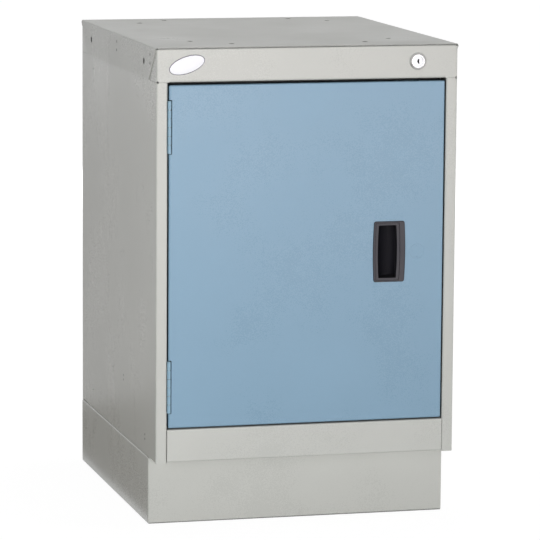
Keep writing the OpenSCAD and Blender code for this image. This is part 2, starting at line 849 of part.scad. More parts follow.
function rivet_heights() = [rivet_inset, hinge_len / 2, hinge_len - rivet_inset];
module rivet_holes(x) {
    for (z = hinge_z)
        for (h = rivet_heights())
            rod_x(rivet_y, z + h, x, rivet_d + 2 * rivet_play);
}
module hinge_rivets() {
    tail_x = -open_x - sheet;
    head_x = -open_x + leaf_t;
    color(zinc) place() for (z = hinge_z)
        for (h = rivet_heights()) {
            rod_x(rivet_y, z + h, [tail_x - rivet_tail_t, head_x + rivet_head_t], rivet_d);
            rod_x(rivet_y, z + h, [head_x, head_x + rivet_head_t], rivet_head_d);
            rod_x(rivet_y, z + h, [tail_x - rivet_tail_t, tail_x], rivet_tail_d);
        }
}

// Folded door: face, four returns and lips, notched for the knuckles
module door_panel() {
    inner_x = door_x - sheet;
    color(door_blue) place() difference() {
        rounded_block([-door_x, door_x], [0, door_depth], [door_z0, door_z1], outer_r);
        rounded_block([-inner_x, inner_x], [sheet, door_depth - sheet],
                      [door_z0 + sheet, door_z1 - sheet], bend_r);
        span([-door_x + door_lip, door_x - door_lip], [door_depth - 2 * sheet, door_depth + tiny],
             [door_z0 + door_lip, door_z1 - door_lip]);
        for (z = hinge_z)
            span([-door_x - tiny, hinge_x + knuckle_d / 2 + notch_room],
                 [-tiny, outer_r + knuckle_room], [z - notch_room, z + hinge_len + notch_room]);
        translate([pull_x, 0, door_mid_z]) pull_hole();
        knockout_ring();
        cam_slot(door_z1 - sheet - tiny, door_z1 + tiny, cap_mid_z - door_z1);
    }
}
module pull_hole() {
    w = pull_cup_w / 2 + pull_play;
    h = pull_cup_h / 2 + pull_play;
    translate([pull_undercut / 2 - pull_shift, 0, 0]) span([-w, w], [-tiny, sheet + tiny], [-h, h]);
}
// Punched ring that two ties still hold, with a punch mark inside each tie
module knockout_ring() {
    tie = 2;
    mark_w = 3;
    mark_h = 1.6;
    mark_inset = 3;
    mark_r = knockout_d / 2 - mark_inset;
    for (s = [-1, 1])
        translate([door_x - knockout_inset, 0, door_mid_z + s * mark_r])
            span([-mark_w / 2, mark_w / 2], [-tiny, knockout_depth], [-mark_h / 2, mark_h / 2]);
    translate([door_x - knockout_inset, -tiny, door_mid_z]) difference() {
        rotate([-90, 0, 0]) difference() {
            cylinder(h = tiny + knockout_depth, d = knockout_d + knockout_groove);
            translate([0, 0, -tiny]) cylinder(h = 4 * tiny, d = knockout_d - knockout_groove);
        }
        span([-tie / 2, tie / 2], [-tiny, 4 * tiny], [-knockout_d, knockout_d]);
    }
}
module door_stiffener() {
    foot = 12;
    x = stiffener_w / 2;
    seat = sheet * 1.5;
    end_gap = outer_r + joint_gap;
    color(door_blue) place() along_z([door_z0 + end_gap, door_z1 - end_gap]) folded([
        [-x - foot, seat], [-x, seat], [-x, stiffener_depth],
        [x, stiffener_depth], [x, seat], [x + foot, seat]
    ]);
}

// Outline with rounded corners and long sides that swell to their middle
function side_swell(w, h, r, bulge) =
    let (z = h / 2 - r, steps = 8)
    [for (i = [1:steps - 1]) let (s = -1 + 2 * i / steps) [w / 2 + bulge / 2 * (1 - s * s), s * z]];
function barrel_outline(w, h, r, bulge) =
    let (x = w / 2 - r, z = h / 2 - r)
    concat(
        arc([x, -z], r, -90, 0), side_swell(w, h, r, bulge), arc([x, z], r, 0, 90),
        arc([-x, z], r, 90, 180), [for (p = side_swell(w, h, r, bulge)) -p], arc([-x, -z], r, 180, 270)
    );
// Flush pull: rim over the door's face, cup behind it, room for the fingertips behind the right rim
module pull_handle() {
    open_mid = (pull_open_w + pull_bulge) / 2;
    cup_x = [-open_mid - pull_wall, open_mid + pull_wall + pull_undercut];
    cup_z = pull_cup_h / 2;
    color(charcoal) place() translate([pull_x, 0, door_mid_z]) difference() {
        union() {
            along_y([-pull_proud, 0]) polygon(barrel_outline(pull_end_w, pull_h, pull_corner, pull_bulge));
            translate([-pull_shift, 0, 0]) span(cup_x, [-tiny / 2, pull_depth], [-cup_z, cup_z]);
        }
        translate([-pull_shift, 0, 0]) {
            span([cup_x[0] + pull_wall, cup_x[1] - pull_wall], [pull_wall, pull_depth - pull_wall],
                 [-cup_z + pull_wall, cup_z - pull_wall]);
            along_y([-pull_proud - tiny, pull_wall + tiny])
                polygon(barrel_outline(pull_open_w, pull_open_h, pull_corner, pull_bulge));
            // groove along the right rim
            translate([open_mid + pull_groove_gap, 0, 0])
                span([0, pull_groove], [-pull_proud - tiny, -pull_proud + pull_groove_depth],
                     [-pull_open_h / 2, pull_open_h / 2]);
        }
    }
}

module at_lock() {
    translate([lock_x, 0, cap_mid_z]) rotate([-90, 0, 0]) children();
}
module lock_body() {
    color(chrome) place() at_lock() difference() {
        union() {
            translate([0, 0, -bezel_rim]) cylinder(h = bezel_rim, d = bezel_d);
            translate([0, 0, -bezel_out])
                cylinder(h = bezel_out - bezel_rim, d1 = lock_face_d, d2 = bezel_d);
            intersection() {
                cylinder(h = barrel_len, d = barrel_d);
                translate([-barrel_flats / 2, -barrel_d, -tiny])
                    cube([barrel_flats, 2 * barrel_d, barrel_len + 2 * tiny]);
            }
        }
        translate([0, 0, -bezel_out - tiny])
            cylinder(h = bezel_out + barrel_len + 2 * tiny, d = plug_d + 2 * lock_play);
    }
}
module lock_nut() {
    color(zinc) place() at_lock() translate([0, 0, sheet]) difference() {
        hex(lock_nut_w, lock_nut_t);
        translate([0, 0, -tiny]) cylinder(h = lock_nut_t + 2 * tiny, d = barrel_d + 2 * lock_play);
    }
}
module lock_plug() {
    color(chrome) place() at_lock() difference() {
        union() {
            translate([0, 0, -bezel_out + plug_recess])
                cylinder(h = bezel_out - plug_recess + cam_y, d = plug_d);
            translate([-tail_w / 2, -tail_w / 2, cam_y - tiny]) cube([tail_w, tail_w, cam_t + tiny]);
        }
        // curved key slot
        translate([keyway_r, 0, -bezel_out]) intersection() {
            difference() {
                cylinder(h = keyway_depth, r = keyway_r + keyway_w / 2);
                translate([0, 0, -tiny]) cylinder(h = keyway_depth + 2 * tiny, r = keyway_r - keyway_w / 2);
            }
            translate([-2 * keyway_r, -keyway_h / 2, -tiny])
                cube([2 * keyway_r, keyway_h, keyway_depth + 2 * tiny]);
        }
        translate([0, 0, cam_y + cam_t - lock_screw_len])
            cylinder(h = lock_screw_len + tiny, d = lock_screw_d + 2 * thread_gap);
    }
}
// At rest the cam points to the middle of the cabinet; a quarter turn points it down into the door
module lock_cam() {
    tip_r = cam_w / 2;
    color(zinc) place() at_lock() translate([0, 0, cam_y]) difference() {
        union() {
            cylinder(h = cam_t, d = cam_hub_d);
            translate([-cam_len + tip_r, -cam_w / 2, 0]) cube([cam_len - tip_r, cam_w, cam_t]);
            translate([-cam_len + tip_r, 0, 0]) cylinder(h = cam_t, r = tip_r);
        }
        translate([-tail_w / 2 - cam_play, -tail_w / 2 - cam_play, -tiny])
            cube([tail_w + 2 * cam_play, tail_w + 2 * cam_play, cam_t + 2 * tiny]);
    }
}
module lock_screw() {
    color(zinc) place() at_lock() translate([0, 0, cam_y + cam_t]) {
        cylinder(h = lock_screw_head_t, d = lock_screw_head_d);
        translate([0, 0, -lock_screw_len + tiny]) cylinder(h = lock_screw_len, d = lock_screw_d);
    }
}

// Plain oval plate
module badge_plate() {
    steps = 48;
    color("white") place() translate([badge_x, 0, cap_mid_z]) rotate([0, -badge_tilt, 0])
        along_y([-badge_t, 0]) polygon([
            for (i = [0:steps - 1]) let (a = 360 * i / steps)
                [badge_w / 2 * cos(a), badge_h / 2 * sin(a)]
        ]);
}

// Magnetic catch on a bracket behind the door's free edge
module at_catch() {
    translate([catch_x, catch_back, door_mid_z]) children();
}
module catch_bracket() {
    h = catch_h / 2 + catch_margin;
    color(zinc) place() difference() {
        along_z([door_mid_z - h, door_mid_z + h]) folded([
            [open_x - catch_reach, catch_back + catch_plate / 2],
            [open_x - catch_plate / 2, catch_back + catch_plate / 2],
            [open_x - catch_plate / 2, catch_back - catch_leg]
        ], catch_plate, catch_plate / 2);
        at_catch() catch_screw_rods([-tiny, catch_plate + tiny], catch_screw_d + 2 * thread_gap);
    }
}
module catch_screw_rods(y, d) {
    for (s = [-1, 1])
        rod_y(0, s * catch_screw_z, y, d);
}
module catch_housing() {
    front = -catch_depth + catch_pole_out;
    color("#d8d8d6") place() at_catch() difference() {
        span([-catch_w / 2, catch_w / 2], [front, 0], [-catch_h / 2, catch_h / 2]);
        span([-catch_cell_w / 2, catch_cell_w / 2], [front - tiny, -catch_floor],
             [-catch_cell_h / 2, catch_cell_h / 2]);
        catch_screw_rods([front - tiny, tiny], catch_screw_d + 2 * catch_play);
    }
}
module catch_magnet() {
    x = catch_cell_w / 2 - catch_play - catch_pole_t;
    z = catch_cell_h / 2 - catch_play;
    color("#2b2b2d") place() at_catch()
        span([-x, x], [-catch_depth + 2 * catch_pole_out, -catch_floor], [-z, z]);
}
module catch_poles() {
    x = catch_cell_w / 2 - catch_play;
    z = catch_cell_h / 2 - catch_play;
    color(zinc) place() at_catch() both_sides()
        span([-x, -x + catch_pole_t], [-catch_depth, -catch_floor], [-z, z]);
}
module catch_screws() {
    head_d = 6.5;
    head_t = 1.2;
    front = -catch_depth + catch_pole_out;
    color(zinc) place() at_catch() {
        catch_screw_rods([front, catch_plate + 2 * tiny], catch_screw_d);
        catch_screw_rods([front - head_t, front], head_d);
    }
}
module door_bumpers() {
    inset = 30;
    color(rubber_black) place() both_sides()
        for (z = [rail_top + stop_h / 2, cap_z - stop_drop / 2 - sheet])
            translate([open_x - inset, stop_y, z]) rotate([90, 0, 0])
                cylinder(h = bumper_t, d1 = bumper_d, d2 = bumper_d - bumper_t);
}

side_panel_left();
side_panel_right();
back_panel();
bottom_panel();
cap_top();
cap_front();
cap_rear();
cap_channel();
shelf_upright_front_left();
shelf_upright_rear_left();
shelf_upright_front_right();
shelf_upright_rear_right();
shelf();
shelf_clips();
plinth_wrap();
plinth_rear();
plinth_bolts();
plinth_washers();
plinth_nuts();
upper_hinge_frame_leaf();
upper_hinge_pin();
lower_hinge_frame_leaf();
lower_hinge_pin();
hinge_rivets();
lock_body();
lock_nut();
badge_plate();
catch_bracket();
catch_housing();
catch_magnet();
catch_poles();
catch_screws();
door_bumpers();
door_panel();
door_stiffener();
pull_handle();
upper_hinge_door_leaf();
lower_hinge_door_leaf();
lock_plug();
lock_cam();
lock_screw();
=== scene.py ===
"""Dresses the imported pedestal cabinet: folded painted sheet, hinges, pull, cam lock, catch and fasteners."""

import json
import logging
import math
from collections.abc import Callable, Iterable, Mapping, Sequence
from dataclasses import dataclass, field
from enum import Enum

import bmesh
import bpy
from mathutils import Matrix, Vector


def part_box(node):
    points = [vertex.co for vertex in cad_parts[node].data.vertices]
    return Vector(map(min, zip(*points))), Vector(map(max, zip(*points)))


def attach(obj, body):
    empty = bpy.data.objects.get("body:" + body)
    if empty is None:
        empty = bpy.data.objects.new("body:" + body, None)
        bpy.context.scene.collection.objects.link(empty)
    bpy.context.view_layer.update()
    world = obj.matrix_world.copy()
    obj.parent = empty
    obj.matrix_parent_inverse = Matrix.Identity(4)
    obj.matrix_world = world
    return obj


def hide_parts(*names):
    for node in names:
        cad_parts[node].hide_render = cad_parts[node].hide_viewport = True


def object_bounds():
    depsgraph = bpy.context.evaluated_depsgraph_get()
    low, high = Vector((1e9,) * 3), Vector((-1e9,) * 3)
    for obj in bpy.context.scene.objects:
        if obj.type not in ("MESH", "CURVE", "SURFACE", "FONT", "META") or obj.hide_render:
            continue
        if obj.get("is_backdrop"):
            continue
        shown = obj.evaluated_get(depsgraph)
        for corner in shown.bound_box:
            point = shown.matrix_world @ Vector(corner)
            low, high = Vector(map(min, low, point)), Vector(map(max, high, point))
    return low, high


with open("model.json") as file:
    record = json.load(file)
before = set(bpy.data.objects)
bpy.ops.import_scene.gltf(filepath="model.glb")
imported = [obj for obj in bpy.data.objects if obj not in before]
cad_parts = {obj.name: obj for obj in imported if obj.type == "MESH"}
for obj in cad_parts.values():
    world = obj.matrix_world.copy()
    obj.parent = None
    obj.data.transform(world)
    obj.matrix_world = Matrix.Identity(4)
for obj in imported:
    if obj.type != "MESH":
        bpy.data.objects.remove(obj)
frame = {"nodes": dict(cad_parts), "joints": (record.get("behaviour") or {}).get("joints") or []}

CAD_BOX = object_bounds()
MM = 0.001
TINY = 1e-6
LOG = logging.getLogger("pedestal_cabinet")

Flat = tuple[float, float]
Point = tuple[float, float, float]
Loops = list[list[Point]]
Socket = bpy.types.NodeSocket
Sockets = dict[str, Socket]


class Slot(Enum):
    """Material slots of the record."""

    GREY_PAINT = "grey_paint"
    BLUE_PAINT = "blue_paint"
    ZINC_PLATE = "zinc_plate"
    CHROME_PLATE = "chrome_plate"
    WHITE_ENAMEL = "white_enamel"
    CHARCOAL_PLASTIC = "charcoal_plastic"
    LIGHT_PLASTIC = "light_plastic"
    FERRITE = "ferrite"
    BLACK_RUBBER = "black_rubber"


class Trim(Enum):
    """Finishes that a piece carries beside or in place of its slot's own."""

    CAP_COAT = "cap_coat"
    HINGE_COAT = "hinge_coat"
    RAIL_COAT = "rail_coat"
    PULL_SIDES = "pull_sides"
    PULL_CUP = "pull_cup"
    BADGE_RIM = "badge_rim"
    LOCK_BEVEL = "lock_bevel"
    KEYWAY = "keyway"


class Body(Enum):
    """Rigid bodies of the frame."""

    CASE = "case"
    DOOR = "door"
    LOCK = "lock"


class Effect(Enum):
    """Surface effects that several finishes share."""

    POWDER_TEXTURE = "powder_texture"
    SETTLED_DUST = "settled_dust"
    ROLLED_GRAIN = "rolled_grain"
    MOULD_GRAIN = "mould_grain"
    RUB_MARKS = "rub_marks"
    SHADED_GAPS = "shaded_gaps"
    DARKENED_EDGES = "darkened_edges"
    DARK_SPOT = "dark_spot"


def box_mm(node: str) -> tuple[Vector, Vector]:
    """Returns the lowest and highest corners of a CAD node in millimetres."""
    low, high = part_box(node)
    return low / MM, high / MM


def joint_mm(name: str) -> Point:
    """Returns the place of a joint in millimetres."""
    joint = next(j for j in frame["joints"] if j["name"] == name)
    return tuple(c / MM for c in joint["pos_m"])


def put_up(name: str, data: bpy.types.ID) -> bpy.types.Object:
    """Makes an object and puts it in the scene.

    Args:
        name: Its name.
        data: Its mesh, lamp or camera.

    Returns:
        The object.
    """
    made = bpy.data.objects.new(name, data)
    bpy.context.scene.collection.objects.link(made)
    return made


# Colours and node trees


@dataclass(frozen=True)
class Tone:
    """A colour as it reads on screen, each part from 0 to 255."""

    red: float
    green: float
    blue: float

    def linear(self) -> tuple[float, float, float, float]:
        """Turns the screen's colour into light.

        Returns:
            Linear red, green, blue and a full alpha.
        """
        parts = []
        for part in (self.red, self.green, self.blue):
            share = part / 255
            parts.append(share / 12.92 if share <= 0.04045 else ((share + 0.055) / 1.055) ** 2.4)
        return parts[0], parts[1], parts[2], 1.0

    def shaded(self, by: float) -> "Tone":
        """Returns the colour scaled by a factor."""
        return Tone(self.red * by, self.green * by, self.blue * by)


class NodeSheet:
    """Puts nodes on one node tree and joins them."""

    def __init__(self, tree: bpy.types.NodeTree) -> None:
        """Keeps the tree.

        Args:
            tree: The node tree that takes the nodes.
        """
        self.tree = tree

    def put(
        self, kind: str, values: Mapping[str | int, object] | None = None, **settings: object
    ) -> bpy.types.Node:
        """Adds one node.

        Args:
            kind: Blender's type name of the node.
            values: Input name or number to a constant, or to an output socket to join.
            **settings: Properties of the node itself.

        Returns:
            The new node.
        """
        spacing = 180
        node = self.tree.nodes.new(kind)
        node.location = (spacing * len(self.tree.nodes), 0)
        for name, setting in settings.items():
            setattr(node, name, setting)
        for name, value in (values or {}).items():
            if isinstance(value, Socket):
                self.tree.links.new(value, node.inputs[name])
            else:
                node.inputs[name].default_value = value
        return node

    def reckon(self, operation: str, first: object, second: object = 0.0) -> Socket:
        """Adds one Math node.

        Args:
            operation: Blender's name of the operation.
            first: First number or socket.
            second: Second number or socket.

        Returns:
            The result.
        """
        return self.put("ShaderNodeMath", {0: first, 1: second}, operation=operation).outputs[0]

    def times(self, first: object, second: object) -> Socket:
        """Returns the product of two numbers or sockets."""
        return self.reckon("MULTIPLY", first, second)

    def plus(self, first: object, second: object) -> Socket:
        """Returns the sum of two numbers or sockets."""
        return self.reckon("ADD", first, second)

    def vector(self, operation: str, first: object, second: object) -> Socket:
        """Returns the result of a Vector Math node with two vectors."""
        return self.put("ShaderNodeVectorMath", {0: first, 1: second}, operation=operation).outputs[0]

    def length(self, vector: Socket) -> Socket:
        """Returns the length of a vector."""
        return self.put("ShaderNodeVectorMath", {0: vector}, operation="LENGTH").outputs["Value"]

    def facing(self, normal: str, axis: str) -> Socket:
        """Returns one axis of the surface's direction, from the named normal."""
        direction = self.put("ShaderNodeNewGeometry").outputs[normal]
        return self.put("ShaderNodeSeparateXYZ", {0: direction}).outputs[axis]

    def ramp(self, value: object, start: Flat, end: Flat) -> Socket:
        """Adds one clamped Map Range node.

        Args:
            value: What is mapped.
            start: The lowest value and what it becomes.
            end: The highest value and what it becomes.

        Returns:
            The mapped value.
        """
        low = {"From Min": start[0], "To Min": start[1]}
        high = {"From Max": end[0], "To Max": end[1]}
        return self.put("ShaderNodeMapRange", {"Value": value, **low, **high}, clamp=True).outputs["Result"]

    def blend(self, share: object, first: object, second: object) -> Socket:
        """Adds one colour mix.

        Args:
            share: Share of the second colour.
            first: First colour or socket.
            second: Second colour or socket.

        Returns:
            The mixed colour.
        """
        return self.put("ShaderNodeMix", {0: share, 6: first, 7: second}, data_type="RGBA").outputs[2]

    def tinge(self, mask: Socket, share: float, paint: Socket, tone: Tone) -> Socket:
        """Returns the paint with a share of a tone where the mask is."""
        return self.blend(self.times(mask, share), paint, tone.linear())


class GroupSheet(NodeSheet):
    """Node sheet of a shared effect, with the effect's inputs."""

    def __init__(self, tree: bpy.types.NodeTree) -> None:
        """Adds the inputs.

        Args:
            tree: The effect's node tree, whose sockets are made.
        """
        super().__init__(tree)
        inputs = self.put("NodeGroupInput").outputs
        self.place, self.scale, self.amount = inputs["Vector"], inputs["Scale"], inputs["Amount"]

    def noise(self, share: float, detail: float = 2.0, warp: float = 0.0) -> Socket:
        """Adds a noise at a share of the effect's scale.

        Args:
            share: Share of the scale.
            detail: Octaves.
            warp: Distortion.

        Returns:
            The noise, about 0.5.
        """
        scale = self.times(self.scale, share)
        values = {"Vector": self.place, "Scale": scale, "Detail": detail, "Distortion": warp}
        return self.put("ShaderNodeTexNoise", values).outputs[0]


class Effects:
    """Makes each shared node group once."""

    def __init__(self) -> None:
        """Starts with no group made."""
        self.made: dict[Effect, bpy.types.NodeTree] = {}
        self.makers: dict[Effect, Callable[[GroupSheet], Sockets]] = {
            Effect.POWDER_TEXTURE: self.powder_texture,
            Effect.SETTLED_DUST: self.settled_dust,
            Effect.ROLLED_GRAIN: self.rolled_grain,
            Effect.MOULD_GRAIN: self.mould_grain,
            Effect.RUB_MARKS: self.rub_marks,
            Effect.SHADED_GAPS: self.shaded_gaps,
            Effect.DARKENED_EDGES: self.darkened_edges,
            Effect.DARK_SPOT: self.dark_spot,
        }

    def group(self, effect: Effect) -> bpy.types.NodeTree:
        """Finds the node group of an effect, which is built when it is first asked for.

        Args:
            effect: The effect.

        Returns:
            Its node tree.
        """
        if effect not in self.made:
            self.made[effect] = self.build(effect)
        return self.made[effect]

    def build(self, effect: Effect) -> bpy.types.NodeTree:
        """Builds one group.

        Args:
            effect: The effect.

        Returns:
            Its node tree.
        """
        tree = bpy.data.node_groups.new(effect.value, "ShaderNodeTree")
        for name, kind in (("Vector", "Vector"), ("Scale", "Float"), ("Amount", "Float")):
            tree.interface.new_socket(name, in_out="INPUT", socket_type=f"NodeSocket{kind}")
        group = GroupSheet(tree)
        outputs = self.makers[effect](group)
        for name in outputs:
            tree.interface.new_socket(name, in_out="OUTPUT", socket_type="NodeSocketFloat")
        group.put("NodeGroupOutput", outputs)
        return tree

    @staticmethod
    def powder_texture(group: GroupSheet) -> Sockets:
        """Peel of a powder coat, a faint mottle and a few nibs of dust under the paint.

        Args:
            group: The effect's node sheet.

        Returns:
            Height of the surface, mottle and nibs.
        """
        fine = group.noise(1.0)
        broad = group.noise(0.3)
        peel = group.plus(group.times(fine, 0.6), group.times(broad, 0.4))
        cells = {"Vector": group.place, "Scale": group.times(group.scale, 0.05)}
        dots = group.put("ShaderNodeTexVoronoi", cells)
        nibs = group.ramp(dots.outputs["Distance"], (0.02, 1.0), (0.06, 0.0))
        chosen = group.ramp(group.noise(0.02), (0.56, 0.0), (0.62, 1.0))
        nibs = group.times(group.times(nibs, chosen), group.amount)
        cloud = group.times(group.noise(0.012, 3.0), 0.6)
        speckle = group.times(group.noise(1.3, 3.0), 0.4)
        mottle = group.ramp(group.plus(cloud, speckle), (0.38, 0.0), (0.62, 1.0))
        return {"Height": group.plus(peel, nibs), "Mottle": mottle, "Nibs": nibs}

    @staticmethod
    def settled_dust(group: GroupSheet) -> Sockets:
        """Thin dust on what faces up.

        Args:
            group: The effect's node sheet.

        Returns:
            Mask of the dust.
        """
        upward = group.ramp(group.facing("Normal", "Z"), (0.6, 0.0), (0.98, 1.0))
        cloud = group.ramp(group.noise(1.0, 5.0), (0.3, 0.25), (0.7, 1.0))
        return {"Mask": group.times(group.times(upward, cloud), group.amount)}

    @staticmethod
    def rolled_grain(group: GroupSheet) -> Sockets:
        """Grain drawn out along one direction, as on rolled or ground metal.

        Args:
            group: The effect's node sheet.

        Returns:
            Height of the grain and its streaks.
        """
        drawn = group.vector("MULTIPLY", group.place, (0.06, 1.0, 1.0))
        values = {"Vector": drawn, "Scale": group.scale, "Detail": 4.0}
        streak = group.put("ShaderNodeTexNoise", values).outputs[0]
        cloud = group.noise(0.06, 3.0)
        mixed = group.plus(group.times(streak, 0.7), group.times(cloud, 0.3))
        spread = group.ramp(mixed, (0.35, 0.0), (0.65, 1.0))
        return {"Height": streak, "Streak": group.times(spread, group.amount)}

    @staticmethod
    def mould_grain(group: GroupSheet) -> Sockets:
        """Spark-eroded grain of a moulding tool.

        Args:
            group: The effect's node sheet.

        Returns:
            Height of the grain and a mottle.
        """
        values = {"Vector": group.place, "Scale": group.scale}
        cells = group.put("ShaderNodeTexVoronoi", values, feature="SMOOTH_F1")
        fine = group.noise(1.7, 3.0)
        height = group.plus(cells.outputs["Distance"], group.times(fine, 0.5))
        mottle = group.ramp(group.noise(0.02, 3.0), (0.35, 0.0), (0.65, 1.0))
        return {"Height": group.times(height, group.amount), "Mottle": mottle}

    @staticmethod
    def rub_marks(group: GroupSheet) -> Sockets:
        """Hair lines and rubbed patches left by hands, keys and tools.

        Args:
            group: The effect's node sheet.

        Returns:
            Mask of the marks.
        """
        line = group.noise(1.0, 6.0, 2.5)
        near = group.reckon("ABSOLUTE", group.reckon("SUBTRACT", line, 0.5))
        hair = group.ramp(near, (0.0, 1.0), (0.006, 0.0))
        patch = group.ramp(group.noise(0.25, 4.0), (0.45, 0.0), (0.7, 1.0))
        return {"Mask": group.times(group.times(hair, patch), group.amount)}

    @staticmethod
    def shaded_gaps(group: GroupSheet) -> Sockets:
        """Painted shade inside narrow gaps and tight corners, taken from ambient occlusion.

        Args:
            group: The effect's node sheet.

        Returns:
            Mask of the gaps.
        """
        reach = group.reckon("DIVIDE", 1.0, group.scale)
        around = group.put("ShaderNodeAmbientOcclusion", {"Distance": reach}, samples=8)
        deep = group.ramp(around.outputs["AO"], (0.12, 1.0), (0.5, 0.0))
        return {"Mask": group.times(deep, group.amount)}

    @staticmethod
    def darkened_edges(group: GroupSheet) -> Sockets:
        """Darkens the cut edges of a sheet that runs front to back.

        Args:
            group: The effect's node sheet.

        Returns:
            Mask of the edges.
        """
        across = group.facing("True Normal", "Y")
        cut = group.ramp(group.reckon("ABSOLUTE", across), (0.5, 0.0), (0.9, 1.0))
        patchy = group.ramp(group.noise(1.0, 3.0), (0.3, 0.8), (0.6, 1.0))
        return {"Mask": group.times(group.times(cut, patchy), group.amount)}

    @staticmethod
    def dark_spot(group: GroupSheet) -> Sockets:
        """A round dark spot about the place from which the vector is measured; over a hole it stands for
        painted shade.

        Args:
            group: The effect's node sheet.

        Returns:
            Mask of the spot.
        """
        away = group.times(group.length(group.place), group.scale)
        return {"Mask": group.times(group.ramp(away, (0.75, 1.0), (1.15, 0.0)), group.amount)}


# Finishes


def open_material(name: str) -> bpy.types.Material:
    """Opens a material without nodes.

    Args:
        name: Its name.

    Returns:
        The material.
    """
    material = bpy.data.materials.new(name)
    material.use_nodes = True
    material.node_tree.nodes.clear()
    return material


class Surface(NodeSheet):
    """Node sheet of one finish, with the shared effects and the place on the surface in metres."""

    def __init__(self, name: str, effects: Effects) -> None:
        """Opens the finish's material.

        Args:
            name: Its name.
            effects: The shared effects.
        """
        self.material = open_material(name)
        self.effects = effects
        super().__init__(self.material.node_tree)
        self.where = self.put("ShaderNodeTexCoord").outputs["Object"]

    def effect(
        self, effect: Effect, scale: float, amount: float = 1.0, where: Socket | None = None
    ) -> Mapping[str, Socket]:
        """Places one effect.

        Args:
            effect: The effect.
            scale: Features for each metre.
            amount: How strong it is, from 0 to 1.
            where: Where it is read, if not at the place on the surface.

        Returns:
            The effect's outputs.
        """
        values = {"Vector": where or self.where, "Scale": scale, "Amount": amount}
        return self.put("ShaderNodeGroup", values, node_tree=self.effects.group(effect)).outputs

    def mottled(self, tone: Tone, mottle: Socket, spread: float) -> Socket:
        """Returns a tone that a mottle spreads to a darker and a lighter one."""
        dark, light = (tone.shaded(1 + way * spread).linear() for way in (-1, 1))
        return self.blend(mottle, dark, light)

    def relief(self, height: Socket, depth: float, strength: float) -> Socket:
        """Adds a bump.

        Args:
            height: Height of the surface.
            depth: Depth in millimetres that a height of 1 stands for.
            strength: Strength of the bump.

        Returns:
            The bumped normal.
        """
        values = {"Height": height, "Distance": depth * MM, "Strength": strength}
        return self.put("ShaderNodeBump", values).outputs["Normal"]


class Finish:
    """What every finish shares: a name, a colour and a material fed by effects."""

    name: str
    tone: Tone

    def make(self, effects: Effects) -> bpy.types.Material:
        """Builds the material.

        Args:
            effects: The shared effects.

        Returns:
            The material.
        """
        surface = Surface(self.name, effects)
        shader = surface.put("ShaderNodeBsdfPrincipled", self.looks(surface))
        surface.put("ShaderNodeOutputMaterial", {"Surface": shader.outputs["BSDF"]})
        return surface.material

    def looks(self, surface: Surface) -> dict[str, object]:
        """Works out the inputs of the surface shader.

        Args:
            surface: The finish's sheet.

        Returns:
            The inputs by name.
        """
        raise NotImplementedError


@dataclass(frozen=True)
class Spot:
    """A dark spot at a small mark or hole, at the same place on both sides of the cabinet, in millimetres;
    over a hole it is painted shade.
    """

    place: Point
    radius: float
    amount: float


